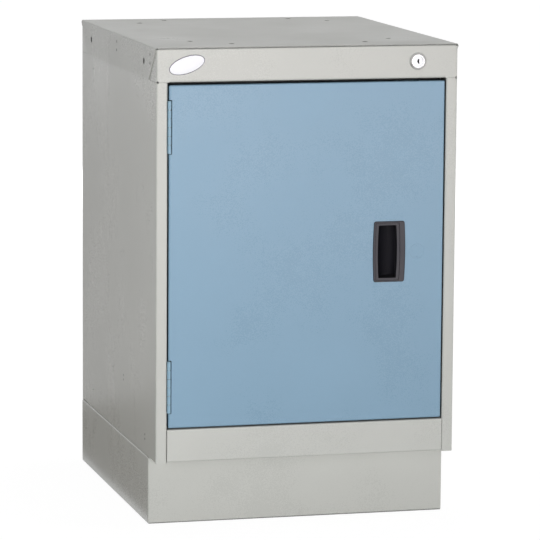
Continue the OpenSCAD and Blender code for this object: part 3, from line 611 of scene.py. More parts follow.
@dataclass(frozen=True)
class PowderCoat(Finish):
    """Satin powder coat: fine peel, faint mottle, dust where it faces up, painted shade in gaps, corners and
    holes, darker weld marks and, on the cap, darkened cut edges.
    """

    name: str
    tone: Tone
    rough: Flat = (0.25, 0.33)
    spread: float = 0.009
    peel_scale: float = 560.0
    peel_depth: float = 0.03
    peel_strength: float = 0.6
    nib_share: float = 0.15
    nib_shade: float = 0.8
    dust: float = 0.3
    dust_scale: float = 16.0
    dust_share: float = 0.12
    dust_rough: float = 0.25
    dust_tone: Tone = Tone(178, 176, 170)
    edge_darkening: float = 0.0
    edge_darkening_scale: float = 90.0
    edge_darkening_tone: Tone = Tone(70, 70, 68)
    # Painted shade in gaps and corners: its share, reach, roughness and near-black tone, which also darkens
    # the spots.
    gap_shade_share: float = 0.88
    gap_shade_scale: float = 18.0
    gap_rough: float = 0.5
    shade_and_mark_tone: Tone = Tone(24, 26, 28)
    ior: float = 1.5
    spots: tuple[Spot, ...] = ()

    def looks(self, surface: Surface) -> dict[str, object]:
        """Works out the inputs of the surface shader.

        Args:
            surface: The finish's sheet.

        Returns:
            The inputs by name.
        """
        texture = surface.effect(Effect.POWDER_TEXTURE, self.peel_scale)
        dust = surface.effect(Effect.SETTLED_DUST, self.dust_scale, self.dust)["Mask"]
        paint = surface.mottled(self.tone, texture["Mottle"], self.spread)
        paint = surface.tinge(texture["Nibs"], self.nib_share, paint, self.tone.shaded(self.nib_shade))
        paint = surface.tinge(dust, self.dust_share, paint, self.dust_tone)
        # Painted shade: gaps and tight corners are blended toward a near-black tone.
        gaps = surface.effect(Effect.SHADED_GAPS, self.gap_shade_scale, self.gap_shade_share)["Mask"]
        paint = surface.blend(gaps, paint, self.shade_and_mark_tone.linear())
        # Darkens the faces that point to the front or back, such as the cap sheet's cut edges.
        if self.edge_darkening > 0:
            edges = surface.effect(Effect.DARKENED_EDGES, self.edge_darkening_scale, self.edge_darkening)["Mask"]
            paint = surface.blend(edges, paint, self.edge_darkening_tone.linear())
        # Painted shade in the holes, and darker weld marks, blended toward the same near-black tone.
        for mask in self.spot_masks(surface):
            paint = surface.blend(mask, paint, self.shade_and_mark_tone.linear())
        gloss = surface.ramp(texture["Mottle"], (0.0, self.rough[0]), (1.0, self.rough[1]))
        gloss = surface.plus(gloss, surface.times(dust, self.dust_rough))
        gloss = surface.plus(gloss, surface.times(gaps, self.gap_rough))
        normal = surface.relief(texture["Height"], self.peel_depth, self.peel_strength)
        return {"Base Color": paint, "Roughness": gloss, "IOR": self.ior, "Normal": normal}

    def spot_masks(self, surface: Surface) -> Iterable[Socket]:
        """Adds the coat's dark spots: painted shade in holes and darker weld marks.

        Args:
            surface: The coat's sheet.

        Yields:
            The mask of each spot.
        """
        if not self.spots:
            return
        parts = surface.put("ShaderNodeSeparateXYZ", {0: surface.where}).outputs
        folded = {0: surface.reckon("ABSOLUTE", parts["X"]), 1: parts["Y"], 2: parts["Z"]}
        either_side = surface.put("ShaderNodeCombineXYZ", folded).outputs[0]
        for spot in self.spots:
            middle = tuple(part * MM for part in spot.place)
            away = surface.vector("SUBTRACT", either_side, middle)
            yield surface.effect(Effect.DARK_SPOT, 1 / (spot.radius * MM), spot.amount, away)["Mask"]


@dataclass(frozen=True)
class Plated(Finish):
    """Plated metal with a drawn grain and hair lines."""

    name: str
    tone: Tone
    rough: Flat
    grain_scale: float = 900.0
    grain_depth: float = 0.01
    grain_strength: float = 0.5
    marks: float = 0.5
    mark_scale: float = 130.0
    mark_rough: float = 0.2
    tarnish: float = 0.12
    dust: float = 0.3
    dust_scale: float = 40.0
    dust_share: float = 0.2
    dust_tone: Tone = Tone(140, 138, 132)

    def looks(self, surface: Surface) -> dict[str, object]:
        """Works out the inputs of the surface shader.

        Args:
            surface: The finish's sheet.

        Returns:
            The inputs by name.
        """
        grain = surface.effect(Effect.ROLLED_GRAIN, self.grain_scale)
        marks = surface.effect(Effect.RUB_MARKS, self.mark_scale, self.marks)["Mask"]
        dust = surface.effect(Effect.SETTLED_DUST, self.dust_scale, self.dust)["Mask"]
        dull = self.tone.shaded(1 - self.tarnish)
        metal = surface.blend(grain["Streak"], dull.linear(), self.tone.linear())
        metal = surface.tinge(dust, self.dust_share, metal, self.dust_tone)
        gloss = surface.ramp(grain["Streak"], (0.0, self.rough[1]), (1.0, self.rough[0]))
        gloss = surface.plus(gloss, surface.times(marks, self.mark_rough))
        normal = surface.relief(grain["Height"], self.grain_depth, self.grain_strength)
        return {"Base Color": metal, "Metallic": 1.0, "Roughness": gloss, "Normal": normal}


@dataclass(frozen=True)
class Moulded(Finish):
    """Moulded plastic, rubber or sintered stock with a tool's grain."""

    name: str
    tone: Tone
    rough: Flat
    grain_scale: float = 1500.0
    grain_depth: float = 0.01
    grain_strength: float = 0.7
    spread: float = 0.08
    dust: float = 0.3
    dust_scale: float = 60.0
    dust_share: float = 0.15
    dust_tone: Tone = Tone(150, 148, 142)
    marks: float = 0.0
    mark_scale: float = 90.0
    mark_polish: float = 0.12
    sheen: float = 0.5
    ior: float = 1.48

    def looks(self, surface: Surface) -> dict[str, object]:
        """Works out the inputs of the surface shader.

        Args:
            surface: The finish's sheet.

        Returns:
            The inputs by name.
        """
        grain = surface.effect(Effect.MOULD_GRAIN, self.grain_scale)
        marks = surface.effect(Effect.RUB_MARKS, self.mark_scale, self.marks)["Mask"]
        dust = surface.effect(Effect.SETTLED_DUST, self.dust_scale, self.dust)["Mask"]
        colour = surface.mottled(self.tone, grain["Mottle"], self.spread)
        colour = surface.tinge(dust, self.dust_share, colour, self.dust_tone)
        gloss = surface.ramp(grain["Mottle"], (0.0, self.rough[0]), (1.0, self.rough[1]))
        gloss = surface.reckon("SUBTRACT", gloss, surface.times(marks, self.mark_polish))
        normal = surface.relief(grain["Height"], self.grain_depth, self.grain_strength)
        looks = {"Base Color": colour, "Roughness": gloss, "Normal": normal}
        return {**looks, "IOR": self.ior, "Specular IOR Level": self.sheen}


@dataclass
class PaintShop:
    """Makes every material once and hands it out.

    Weld marks and holes are given by their distance from the front edge and their height over the foot
    of the case or the cap's lower edge. Each dark spot is a spot's radius and how dark it is: painted shade in
    the holes, darker marks at the welds.
    """

    case_marks: tuple[Flat, ...] = ((72.5, 27.0), (222.25, 90.0), (298.25, 90.0))
    pair_pitch: float = 6.8
    mark_dark: Flat = (1.9, 0.9)
    cap_marks: tuple[Flat, ...] = ((37.0, 25.0), (37.0, 37.5), (266.5, 25.0), (266.5, 37.5))
    cap_sheet: float = 1.2
    cap_mark_dark: Flat = (2.4, 0.8)
    relief_inset: float = 1.9
    relief_shade: Flat = (1.9, 0.9)
    side_holes: Flat = (78.0, 455.0)
    hole_height: float = 25.0
    hole_shade: Flat = (5.4, 0.8)
    grey: Tone = Tone(196, 197, 192)
    # One step lighter copy of the case grey for the bottom rail: painted light.
    lit_rail_grey: Tone = Tone(197, 198, 193)
    blue: Tone = Tone(129, 162, 185)
    # Lighter copy of the door's blue for the hinge leaves: painted highlight on the knuckles.
    lit_hinge_blue: Tone = Tone(144, 178, 198)
    blue_rough: Flat = (0.26, 0.33)
    cup_rough: Flat = (0.4, 0.52)
    materials: dict[Slot | Trim, bpy.types.Material] = field(init=False)

    def __post_init__(self) -> None:
        """Mixes the finishes."""
        effects = Effects()
        finishes = {**self.coats(), **self.metals(), **self.mouldings()}
        self.materials = {key: finish.make(effects) for key, finish in finishes.items()}

    def coats(self) -> dict[Slot | Trim, Finish]:
        """Lists the powder coats, with painted shade in their holes and darker spots at their weld marks.

        Returns:
            The coats by slot or trim.
        """
        low, high = box_mm("side_panel_right")
        wall, front, foot, head = high.x, low.y, low.z, box_mm("cap_top")[0].z
        pairs = [(y, z + side * self.pair_pitch / 2) for y, z in self.case_marks for side in (-1, 1)]
        case_spots = [Spot((wall, front + y, foot + z), *self.mark_dark) for y, z in pairs]
        # Painted shade in the relief hole at the fascia's lower corner.
        case_spots.append(Spot((wall - self.relief_inset, front, head), *self.relief_shade))
        outside = wall + self.cap_sheet
        cap_spots = [Spot((outside, front + y, head + z), *self.cap_mark_dark) for y, z in self.cap_marks]
        # Painted shade inside the side holes, on both the cap's coat and the case's.
        between, level = wall + self.cap_sheet / 2, head + self.hole_height
        holes = [Spot((between, front + y, level), *self.hole_shade) for y in self.side_holes]
        cap_spots, case_spots = (*cap_spots, *holes), (*case_spots, *holes)
        return {
            Slot.GREY_PAINT: PowderCoat("grey_powder_coat", self.grey, spots=case_spots),
            Slot.BLUE_PAINT: PowderCoat("blue_powder_coat", self.blue, self.blue_rough, spread=0.01),
            Trim.CAP_COAT: PowderCoat("cap_powder_coat", self.grey, edge_darkening=0.4, ior=1.25, spots=cap_spots),
            # The hinge leaves take a lighter copy of the door's blue, a painted highlight, with weaker painted
            # gap shade.
            Trim.HINGE_COAT: PowderCoat("lit_hinge_powder_coat", self.lit_hinge_blue, self.blue_rough, gap_shade_share=0.4),
            # The rail takes a slightly lighter copy of the case grey, painted light, with weaker painted gap
            # shade.
            Trim.RAIL_COAT: PowderCoat("rail_powder_coat", self.lit_rail_grey, gap_shade_share=0.15),
        }

    def metals(self) -> dict[Slot | Trim, Finish]:
        """Lists the plated finishes.

        Returns:
            The finishes by slot or trim.
        """
        return {
            Slot.ZINC_PLATE: Plated("bright_zinc", Tone(196, 199, 204), (0.24, 0.4)),
            Slot.CHROME_PLATE: Plated(
                "polished_chrome", Tone(250, 250, 252), (0.05, 0.11), 1500.0, 0.002, marks=0.8, tarnish=0.02
            ),
            Trim.BADGE_RIM: Plated("badge_rim", Tone(98, 97, 114), (0.2, 0.3), grain_depth=0.004, marks=0.2),
            Trim.LOCK_BEVEL: Plated(
                "lock_bevel", Tone(184, 183, 181), (0.26, 0.38), 1200.0, 0.006, marks=0.4
            ),
        }

    def mouldings(self) -> dict[Slot | Trim, Finish]:
        """Lists the finishes of plastic, rubber, enamel and ferrite.

        Returns:
            The finishes by slot or trim.
        """
        cup = self.cup_rough
        return {
            Slot.WHITE_ENAMEL: Moulded(
                "white_enamel", Tone(246, 246, 250), (0.16, 0.24), 700.0, 0.004, spread=0.004, dust=0.1
            ),
            Slot.CHARCOAL_PLASTIC: Moulded(
                "charcoal_plastic",
                Tone(57, 56, 61),
                (0.5, 0.62),
                grain_depth=0.03,
                spread=0.06,
                dust=0.4,
                marks=0.6,
            ),
            Slot.LIGHT_PLASTIC: Moulded(
                "light_plastic", Tone(205, 204, 200), (0.35, 0.45), 1400.0, spread=0.02
            ),
            Slot.FERRITE: Moulded("ferrite", Tone(46, 46, 48), (0.55, 0.75), 2600.0, 0.03, spread=0.15),
            Slot.BLACK_RUBBER: Moulded(
                "black_rubber", Tone(32, 32, 33), (0.62, 0.8), 1200.0, 0.02, spread=0.1, dust=0.6
            ),
            # Darker copies of the charcoal plastic: painted shade on the rim's sides and groove, and deeper
            # painted shade in the opening and cup.
            Trim.PULL_SIDES: Moulded("pull_sides", Tone(36, 36, 42), cup, dust=0.4, sheen=0.3),
            Trim.PULL_CUP: Moulded("pull_cup", Tone(20, 20, 25), cup, sheen=0.12),
            # Very dark brass for the key slot's walls: the plug's brass, painted dark as the slot's shade.
            Trim.KEYWAY: Moulded("shaded_keyway_walls", Tone(40, 30, 27), (0.55, 0.7), dust=0.1, sheen=0.1),
        }

    def material(self, key: Slot | Trim) -> bpy.types.Material:
        """Returns the material of a slot or a trim."""
        return self.materials[key]


# Meshes


def facing_front(x: float, z: float, y: float) -> Matrix:
    """Frame of something that faces the front.

    Args:
        x: Sideways place in millimetres.
        z: Height in millimetres.
        y: Depth in millimetres, in the shared frame.

    Returns:
        A matrix that takes right, up and outward in millimetres to the shared frame in metres.
    """
    turn = Matrix(((1, 0, 0), (0, 0, -1), (0, 1, 0)))
    return Matrix.Translation(Vector((x, y, z)) * MM) @ turn.to_4x4() @ Matrix.Scale(MM, 4)


def standing(x: float, y: float, z: float) -> Matrix:
    """Frame of something that stands up, from millimetres to the shared frame's metres."""
    return Matrix.Translation(Vector((x, y, z)) * MM) @ Matrix.Scale(MM, 4)


def arc(centre: Flat, radius: float, start: float, end: float, steps: int) -> list[Flat]:
    """Points along an arc.

    Args:
        centre: Middle of the arc.
        radius: Its radius.
        start: First angle in degrees.
        end: Last angle in degrees.
        steps: Number of steps.

    Returns:
        The points, both ends included.
    """
    angles = [math.radians(start + (end - start) * i / steps) for i in range(steps + 1)]
    return [(centre[0] + radius * math.cos(a), centre[1] + radius * math.sin(a)) for a in angles]


def circle(radius: float, height: float, steps: int) -> list[Point]:
    """Points of a level circle about the third axis.

    Args:
        radius: Its radius.
        height: Its height.
        steps: Steps round the axis.

    Returns:
        The points.
    """
    turns = [2 * math.pi * k / steps for k in range(steps)]
    return [(radius * math.cos(a), radius * math.sin(a), height) for a in turns]


@dataclass
class Form:
    """A mesh in the making, in millimetres, whose faces carry a surface number."""

    points: list[Point] = field(default_factory=list)
    faces: list[tuple[int, ...]] = field(default_factory=list)
    surfaces: list[int] = field(default_factory=list)

    def ring(self, loop: Iterable[Point]) -> list[int]:
        """Adds a loop of points.

        Args:
            loop: The points.

        Returns:
            Their numbers.
        """
        start = len(self.points)
        self.points.extend(loop)
        return list(range(start, len(self.points)))

    def face(self, corners: Sequence[int], surface: int = 0) -> None:
        """Adds one face."""
        self.faces.append(tuple(corners))
        self.surfaces.append(surface)

    def skin(self, first: Sequence[int], second: Sequence[int], surface: int = 0) -> None:
        """Joins two closed loops by a band.

        Args:
            first: One loop, or a single point.
            second: The next loop, or a single point.
            surface: Surface number of the band.
        """
        count = max(len(first), len(second))
        for i in range(count):
            j = (i + 1) % count
            if len(first) == 1:
                self.face((first[0], second[j], second[i]), surface)
            elif len(second) == 1:
                self.face((first[i], first[j], second[0]), surface)
            else:
                self.face((first[i], first[j], second[j], second[i]), surface)

    def loft(
        self, loops: Sequence[Sequence[Point]], surfaces: Sequence[int] = (), closed: bool = False
    ) -> None:
        """Joins loops in order; the first and last are capped unless the loft closes on itself.

        Args:
            loops: Loops of equal length, or of a single point.
            surfaces: Surface number of each band.
            closed: Whether the last loop joins the first.
        """
        rings = [self.ring(loop) for loop in loops]
        for i, (first, second) in enumerate(zip(rings, rings[1:])):
            self.skin(first, second, surfaces[i] if surfaces else 0)
        if closed:
            self.skin(rings[-1], rings[0])
            return
        for end, surface in ((rings[0], 0), (rings[-1], -1)):
            if len(end) > 2:
                self.face(end, surfaces[surface] if surfaces else 0)

    def turned(self, profile: Sequence[Flat], steps: int = 48, surfaces: Sequence[int] = ()) -> None:
        """Turns a profile about the third axis.

        Args:
            profile: Radius and height along the profile, from the axis or a bore and back.
            steps: Steps round the axis.
            surfaces: Surface number of each band.
        """
        loops = [circle(r, h, steps) if r > 0 else [(0.0, 0.0, h)] for r, h in profile]
        self.loft(loops, surfaces, closed=profile[0][0] > 0)

    def take(self, other: "Form", shift: Point, order: tuple[int, int, int] = (0, 1, 2)) -> None:
        """Adds a copy of a form, with plain surfaces.

        Args:
            other: The form.
            shift: How far the copy is moved.
            order: The form's axis that becomes each axis of the copy.
        """
        start = len(self.points)
        self.ring(tuple(p[axis] + step for axis, step in zip(order, shift)) for p in other.points)
        for face in other.faces:
            self.face([i + start for i in face])

    def prism(self, outline: Sequence[Flat], low: float, high: float, surface: int = 0) -> None:
        """Raises an outline from one height to another.

        Args:
            outline: The outline.
            low: Height of one end.
            high: Height of the other end.
            surface: Surface number.
        """
        self.loft([[(x, y, h) for x, y in outline] for h in (low, high)], (surface,))

    def prisms(self, outlines: Sequence[tuple[Sequence[Flat], float, float]]) -> None:
        """Raises outlines that share walls, and leaves the shared walls out.

        Args:
            outlines: Each outline with its low and high end; shared walls match corner for corner.
        """
        places = 4
        numbers: dict[Point, int] = {}
        walls: dict[frozenset[int], tuple[int, ...]] = {}
        shared: set[frozenset[int]] = set()

        def number(point: Point) -> int:
            """Adds a point if it is new.

            Args:
                point: The point.

            Returns:
                Its number.
            """
            key = tuple(round(part, places) for part in point)
            if key not in numbers:
                numbers[key] = len(self.points)
                self.points.append(key)
            return numbers[key]

        for outline, low, high in outlines:
            ends = [[number((x, y, h)) for x, y in outline] for h in (low, high)]
            quads = [
                (ends[0][i], ends[0][(i + 1) % len(outline)], ends[1][(i + 1) % len(outline)], ends[1][i])
                for i in range(len(outline))
            ]
            for wall in [*quads, tuple(ends[0]), tuple(ends[1])]:
                key = frozenset(wall)
                if key in walls:
                    shared.add(key)
                walls[key] = wall
        for key, wall in walls.items():
            if key not in shared:
                self.face(wall)

    def mesh(self, name: str, place: Matrix) -> bpy.types.Mesh:
        """Makes the mesh.

        Args:
            name: Name of the mesh.
            place: Takes the form's millimetres to the shared frame.

        Returns:
            The mesh, with its faces turned outward.
        """
        made = bpy.data.meshes.new(name)
        work = bmesh.new()
        corners = [work.verts.new(place @ Vector(p)) for p in self.points]
        for loop, surface in zip(self.faces, self.surfaces):
            work.faces.new([corners[i] for i in loop]).material_index = surface
        bmesh.ops.recalc_face_normals(work, faces=work.faces)
        work.to_mesh(made)
        work.free()
        return made


@dataclass
class Bench:
    """Turns forms and CAD nodes into dressed pieces."""

    shop: PaintShop
    soft_angle: float = 38.0
    flat_angle: float = 0.5
    edge_angle: float = 40.0
    edge_steps: int = 2

    def __post_init__(self) -> None:
        """Makes the node group that softens folds."""
        self.softener = self.build_softener()

    def build_softener(self) -> bpy.types.NodeTree:
        """Builds a geometry group that smooths folds and keeps edges.

        Returns:
            The group.
        """
        tree = bpy.data.node_groups.new("soften_folds", "GeometryNodeTree")
        for way in ("INPUT", "OUTPUT"):
            tree.interface.new_socket("Geometry", in_out=way, socket_type="NodeSocketGeometry")
        sheet = NodeSheet(tree)
        shape = sheet.put("NodeGroupInput").outputs[0]
        named = {"Geometry": shape, "Name": "custom_normal"}
        shape = sheet.put("GeometryNodeRemoveAttribute", named).outputs[0]
        shape = sheet.put("GeometryNodeSetShadeSmooth", {"Geometry": shape}).outputs[0]
        fold = sheet.put("GeometryNodeInputMeshEdgeAngle").outputs[0]
        limit = {0: fold, 1: math.radians(self.soft_angle)}
        soft = sheet.put("FunctionNodeCompare", limit, operation="LESS_THAN").outputs[0]
        smoothed = {"Geometry": shape, "Shade Smooth": soft}
        shape = sheet.put("GeometryNodeSetShadeSmooth", smoothed, domain="EDGE").outputs[0]
        sheet.put("NodeGroupOutput", {0: shape})
        return tree

    def ease(self, piece: bpy.types.Object, edge: float) -> None:
        """Rounds a piece's edges and smooths its folds, without touching its mesh.

        Args:
            piece: The piece.
            edge: Width of the rounding in millimetres.
        """
        weld = piece.modifiers.new("weld", "WELD")
        weld.merge_threshold = TINY
        flat = piece.modifiers.new("flat", "DECIMATE")
        flat.decimate_type = "DISSOLVE"
        flat.angle_limit = math.radians(self.flat_angle)
        flat.delimit = {"MATERIAL"}
        if edge > 0:
            bevel = piece.modifiers.new("edge", "BEVEL")
            bevel.width = edge * MM
            bevel.segments = self.edge_steps
            bevel.limit_method = "ANGLE"
            bevel.angle_limit = math.radians(self.edge_angle)
            bevel.use_clamp_overlap = True
            bevel.miter_outer = "MITER_ARC"
        soft = piece.modifiers.new("soft", "NODES")
        soft.node_group = self.softener
        weighted = piece.modifiers.new("weighted", "WEIGHTED_NORMAL")
        weighted.keep_sharp = True

    def dress(self, node: str, slot: Slot, edge: float, trim: Trim | None = None) -> None:
        """Gives a CAD node its finish and eased edges.

        Args:
            node: The node.
            slot: Its material slot.
            edge: Width of the rounding in millimetres.
            trim: Finish in place of the slot's own.
        """
        piece = frame["nodes"][node]
        piece.data.materials.clear()
        piece.data.materials.append(self.shop.material(trim or slot))
        self.ease(piece, edge)
        LOG.info("dressed %s in %s", node, slot.value)

    def piece(
        self,
        name: str,
        form: Form,
        place: Matrix,
        body: Body,
        slot: Slot,
        stands_for: Sequence[str],
        edge: float = 0.0,
        trims: Sequence[Trim] = (),
        cutters: Sequence[tuple[Form, int]] = (),
    ) -> bpy.types.Object:
        """Makes a piece of its own in place of CAD nodes.

        Args:
            name: Name of the piece.
            form: Its shape.
            place: Takes the form's millimetres to the shared frame.
            body: The body it moves with.
            slot: Its material slot.
            stands_for: The CAD nodes that it replaces.
            edge: Width of the rounding in millimetres.
            trims: Finishes of surface numbers 1 and up.
            cutters: Forms cut out of it, each with the surface number of the cut.

        Returns:
            The piece.
        """
        made = put_up(name, form.mesh(name, place))
        for key in (slot, *trims):
            made.data.materials.append(self.shop.material(key))
        for cutter, surface in cutters:
            self.cut(made, cutter, surface, place)
        self.ease(made, edge)
        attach(made, body.value)
        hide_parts(*stands_for)
        LOG.info("made %s, %d faces, in place of %s", name, len(made.data.polygons), ", ".join(stands_for))
        return made

    def cut(self, piece: bpy.types.Object, cutter: Form, surface: int, place: Matrix) -> None:
        """Cuts a form out of a piece.

        Args:
            piece: The piece.
            cutter: The form to take away.
            surface: Surface number of the cut's walls.
            place: Takes the cutter's millimetres to the shared frame.
        """
        cutter.surfaces = [surface] * len(cutter.faces)
        tool = put_up("cutter", cutter.mesh("cutter", place))
        for material in piece.data.materials:
            tool.data.materials.append(material)
        step = piece.modifiers.new("cut", "BOOLEAN")
        step.operation = "DIFFERENCE"
        step.solver = "EXACT"
        step.object = tool
        seen = piece.evaluated_get(bpy.context.evaluated_depsgraph_get())
        result = bpy.data.meshes.new_from_object(seen)
        piece.modifiers.clear()
        piece.data = result
        bpy.data.objects.remove(tool)


def hexagon_rings(width: float, low: float, high: float, bore: float, chamfer: tuple[bool, bool]) -> Loops:
    """Loops of a hexagon with turned corners.

    Args:
        width: Width across the flats.
        low: Height of the lower end.
        high: Height of the upper end.
        bore: Radius of the bore, or 0.
        chamfer: Whether the corners of the lower and the upper end are turned off.

    Returns:
        The loops, from the bore or axis at the lower end to that at the upper end.
    """
    steps, flat_share, chamfer_angle = 72, 0.95, 30.0
    angles = [2 * math.pi * k / steps for k in range(steps)]
    reach = [width / 2 / math.cos((a + math.pi / 6) % (math.pi / 3) - math.pi / 6) for a in angles]
    inner = width / 2 * flat_share
    slope = math.tan(math.radians(chamfer_angle))

    def loop(radii: Iterable[float], heights: Iterable[float]) -> list[Point]:
        """Returns one loop of the hexagon."""
        return [(r * math.cos(a), r * math.sin(a), h) for a, r, h in zip(angles, radii, heights)]

    def end(height: float, way: float, turned_off: bool) -> tuple[list[Point], list[Point]]:
        """Returns the flat's loop and the corners' loop of one end."""
        drops = [(r - inner) * slope * way if turned_off else 0.0 for r in reach]
        return loop([inner] * steps, [height] * steps), loop(reach, [height + d for d in drops])

    low_flat, low_corner = end(low, 1, chamfer[0])
    high_flat, high_corner = end(high, -1, chamfer[1])
    rings = [low_flat, low_corner, high_corner, high_flat]
    if bore > 0:
        rings = [loop([bore] * steps, [low] * steps), *rings, loop([bore] * steps, [high] * steps)]
    return rings


def thread_rings(radius: float, depth: float, pitch: float, low: float, high: float) -> Loops:
    """Loops of a threaded shank.

    Args:
        radius: Outer radius.
        depth: Depth of the thread.
        pitch: Pitch of the thread.
        low: Height of the lower end.
        high: Height of the upper end.

    Returns:
        The loops from the lower end to the upper end.
    """
    steps, rows_each_pitch = 24, 6
    rows = max(2, int((high - low) / pitch * rows_each_pitch))
    loops = []
    for j in range(rows + 1):
        height = low + (high - low) * j / rows
        fade = min(1.0, (high - height) / pitch)
        loop = []
        for k in range(steps):
            turn = (height / pitch - k / steps) % 1.0
            r = radius - depth * abs(2 * turn - 1) - depth * (1 - fade)
            angle = 2 * math.pi * k / steps
            loop.append((r * math.cos(angle), r * math.sin(angle), height))
        loops.append(loop)
    return loops


def cross_recess(width: float, depth: float, top: float) -> list[Form]:
    """Cutters of a cross recess in a screw's head.

    Args:
        width: Width over the cross.
        depth: Depth of the recess.
        top: Height of the head's top.

    Returns:
        Two tapered bars.
    """
    cutters = []
    half_mouth, half_root = 0.42, 0.24
    for turned in (False, True):
        form = Form()
        loops = []
        for height, long, wide in ((top + 1, width / 2, half_mouth), (top - depth, width / 5, half_root)):
            corners = [(-long, -wide), (long, -wide), (long, wide), (-long, wide)]
            loops.append([(y, x, height) if turned else (x, y, height) for x, y in corners])
        form.loft(loops)
        cutters.append(form)
    return cutters


# Sub-assemblies


@dataclass
class Part:
    """A sub-assembly, with the bench on which its pieces are made."""

    bench: Bench

    def build(self) -> None:
        """Makes or dresses the sub-assembly's pieces."""
        raise NotImplementedError


@dataclass
class Case(Part):
    """Folded sheet of the case and its cap."""

    edge: float = 0.18
    own_coats: dict[str, Trim] = field(
        default_factory=lambda: {"cap_top": Trim.CAP_COAT, "bottom_panel": Trim.RAIL_COAT}
    )
    shell: tuple[str, ...] = (
        "side_panel_left",
        "side_panel_right",
        "back_panel",
        "bottom_panel",
        "cap_top",
        "cap_front",
        "cap_rear",
        "cap_channel",
    )

    def build(self) -> None:
        """Dresses the case."""
        for node in self.shell:
            self.bench.dress(node, Slot.GREY_PAINT, self.edge, self.own_coats.get(node))


@dataclass
class Shelving(Part):
    """Uprights, shelf and clips."""

    edge: float = 0.15
    painted: tuple[str, ...] = (
        "shelf_upright_front_left",
        "shelf_upright_rear_left",
        "shelf_upright_front_right",
        "shelf_upright_rear_right",
        "shelf",
    )

    def build(self) -> None:
        """Dresses the shelf, its uprights and its clips."""
        for node in self.painted:
            self.bench.dress(node, Slot.GREY_PAINT, self.edge)
        self.bench.dress("shelf_clips", Slot.ZINC_PLATE, self.edge)


@dataclass
class Plinth(Part):
    """Plinth with the bolts, washers and nuts that hold the case to it."""

    edge: float = 0.2
    head_width: float = 13.0
    head_height: float = 5.3
    shank: float = 4.0
    thread_depth: float = 0.6
    pitch: float = 1.25
    washer_bore: float = 4.2
    washer_edge: float = 0.15

    def build(self) -> None:
        """Dresses the sheets and makes the fasteners."""
        for node in ("plinth_wrap", "plinth_rear"):
            self.bench.dress(node, Slot.GREY_PAINT, self.edge)
        bolts, washers, nuts = Form(), Form(), Form()
        bolt_low, bolt_high = box_mm("plinth_bolts")
        washer_low, washer_high = box_mm("plinth_washers")
        nut_low, nut_high = box_mm("plinth_nuts")
        washer_r = self.washer_radius(washer_low, bolt_low)
        head_top = bolt_low.z + self.head_height
        head = hexagon_rings(self.head_width, bolt_low.z, head_top, 0.0, (True, False))
        shank = thread_rings(self.shank, self.thread_depth, self.pitch, head_top, bolt_high.z)
        nut = hexagon_rings(self.head_width, nut_low.z, nut_high.z, self.shank, (True, True))
        washer = self.washer_rings(washer_r, washer_low.z, washer_high.z)
        for x in (washer_low.x + washer_r, washer_high.x - washer_r):
            for y in (washer_low.y + washer_r, washer_high.y - washer_r):
                self.add(bolts, head, x, y)
                self.add(bolts, shank, x, y)
                self.add(nuts, nut, x, y, True)
                self.add(washers, washer, x, y, True)
        sets = (("bolt", bolts, 0.0), ("nut", nuts, 0.0), ("washer", washers, self.washer_edge))
        for kind, form, edge in sets:
            name, node = f"plinth_{kind}_set", f"plinth_{kind}s"
            self.bench.piece(name, form, Matrix.Scale(MM, 4), Body.CASE, Slot.ZINC_PLATE, [node], edge)

    def washer_radius(self, washer_low: Vector, bolt_low: Vector) -> float:
        """Returns the radius of a washer, from how far it reaches past its bolt's head."""
        corner = self.head_width / 2 / math.cos(math.pi / 6)
        return corner + bolt_low.x - washer_low.x

    def washer_rings(self, radius: float, low: float, high: float) -> Loops:
        """Makes the loops of one washer.

        Args:
            radius: Its outer radius.
            low: Height of its lower face.
            high: Height of its upper face.

        Returns:
            The loops.
        """
        steps = 48
        profile = ((self.washer_bore, low), (radius, low), (radius, high), (self.washer_bore, high))
        return [circle(r, h, steps) for r, h in profile]

    @staticmethod
    def add(form: Form, loops: Sequence[Sequence[Point]], x: float, y: float, closed: bool = False) -> None:
        """Adds loops at a place to a form.

        Args:
            form: The form.
            loops: The loops.
            x: Sideways place.
            y: Depth.
            closed: Whether the loft closes on itself.
        """
        form.loft([[(p[0] + x, p[1] + y, p[2]) for p in loop] for loop in loops], (), closed)


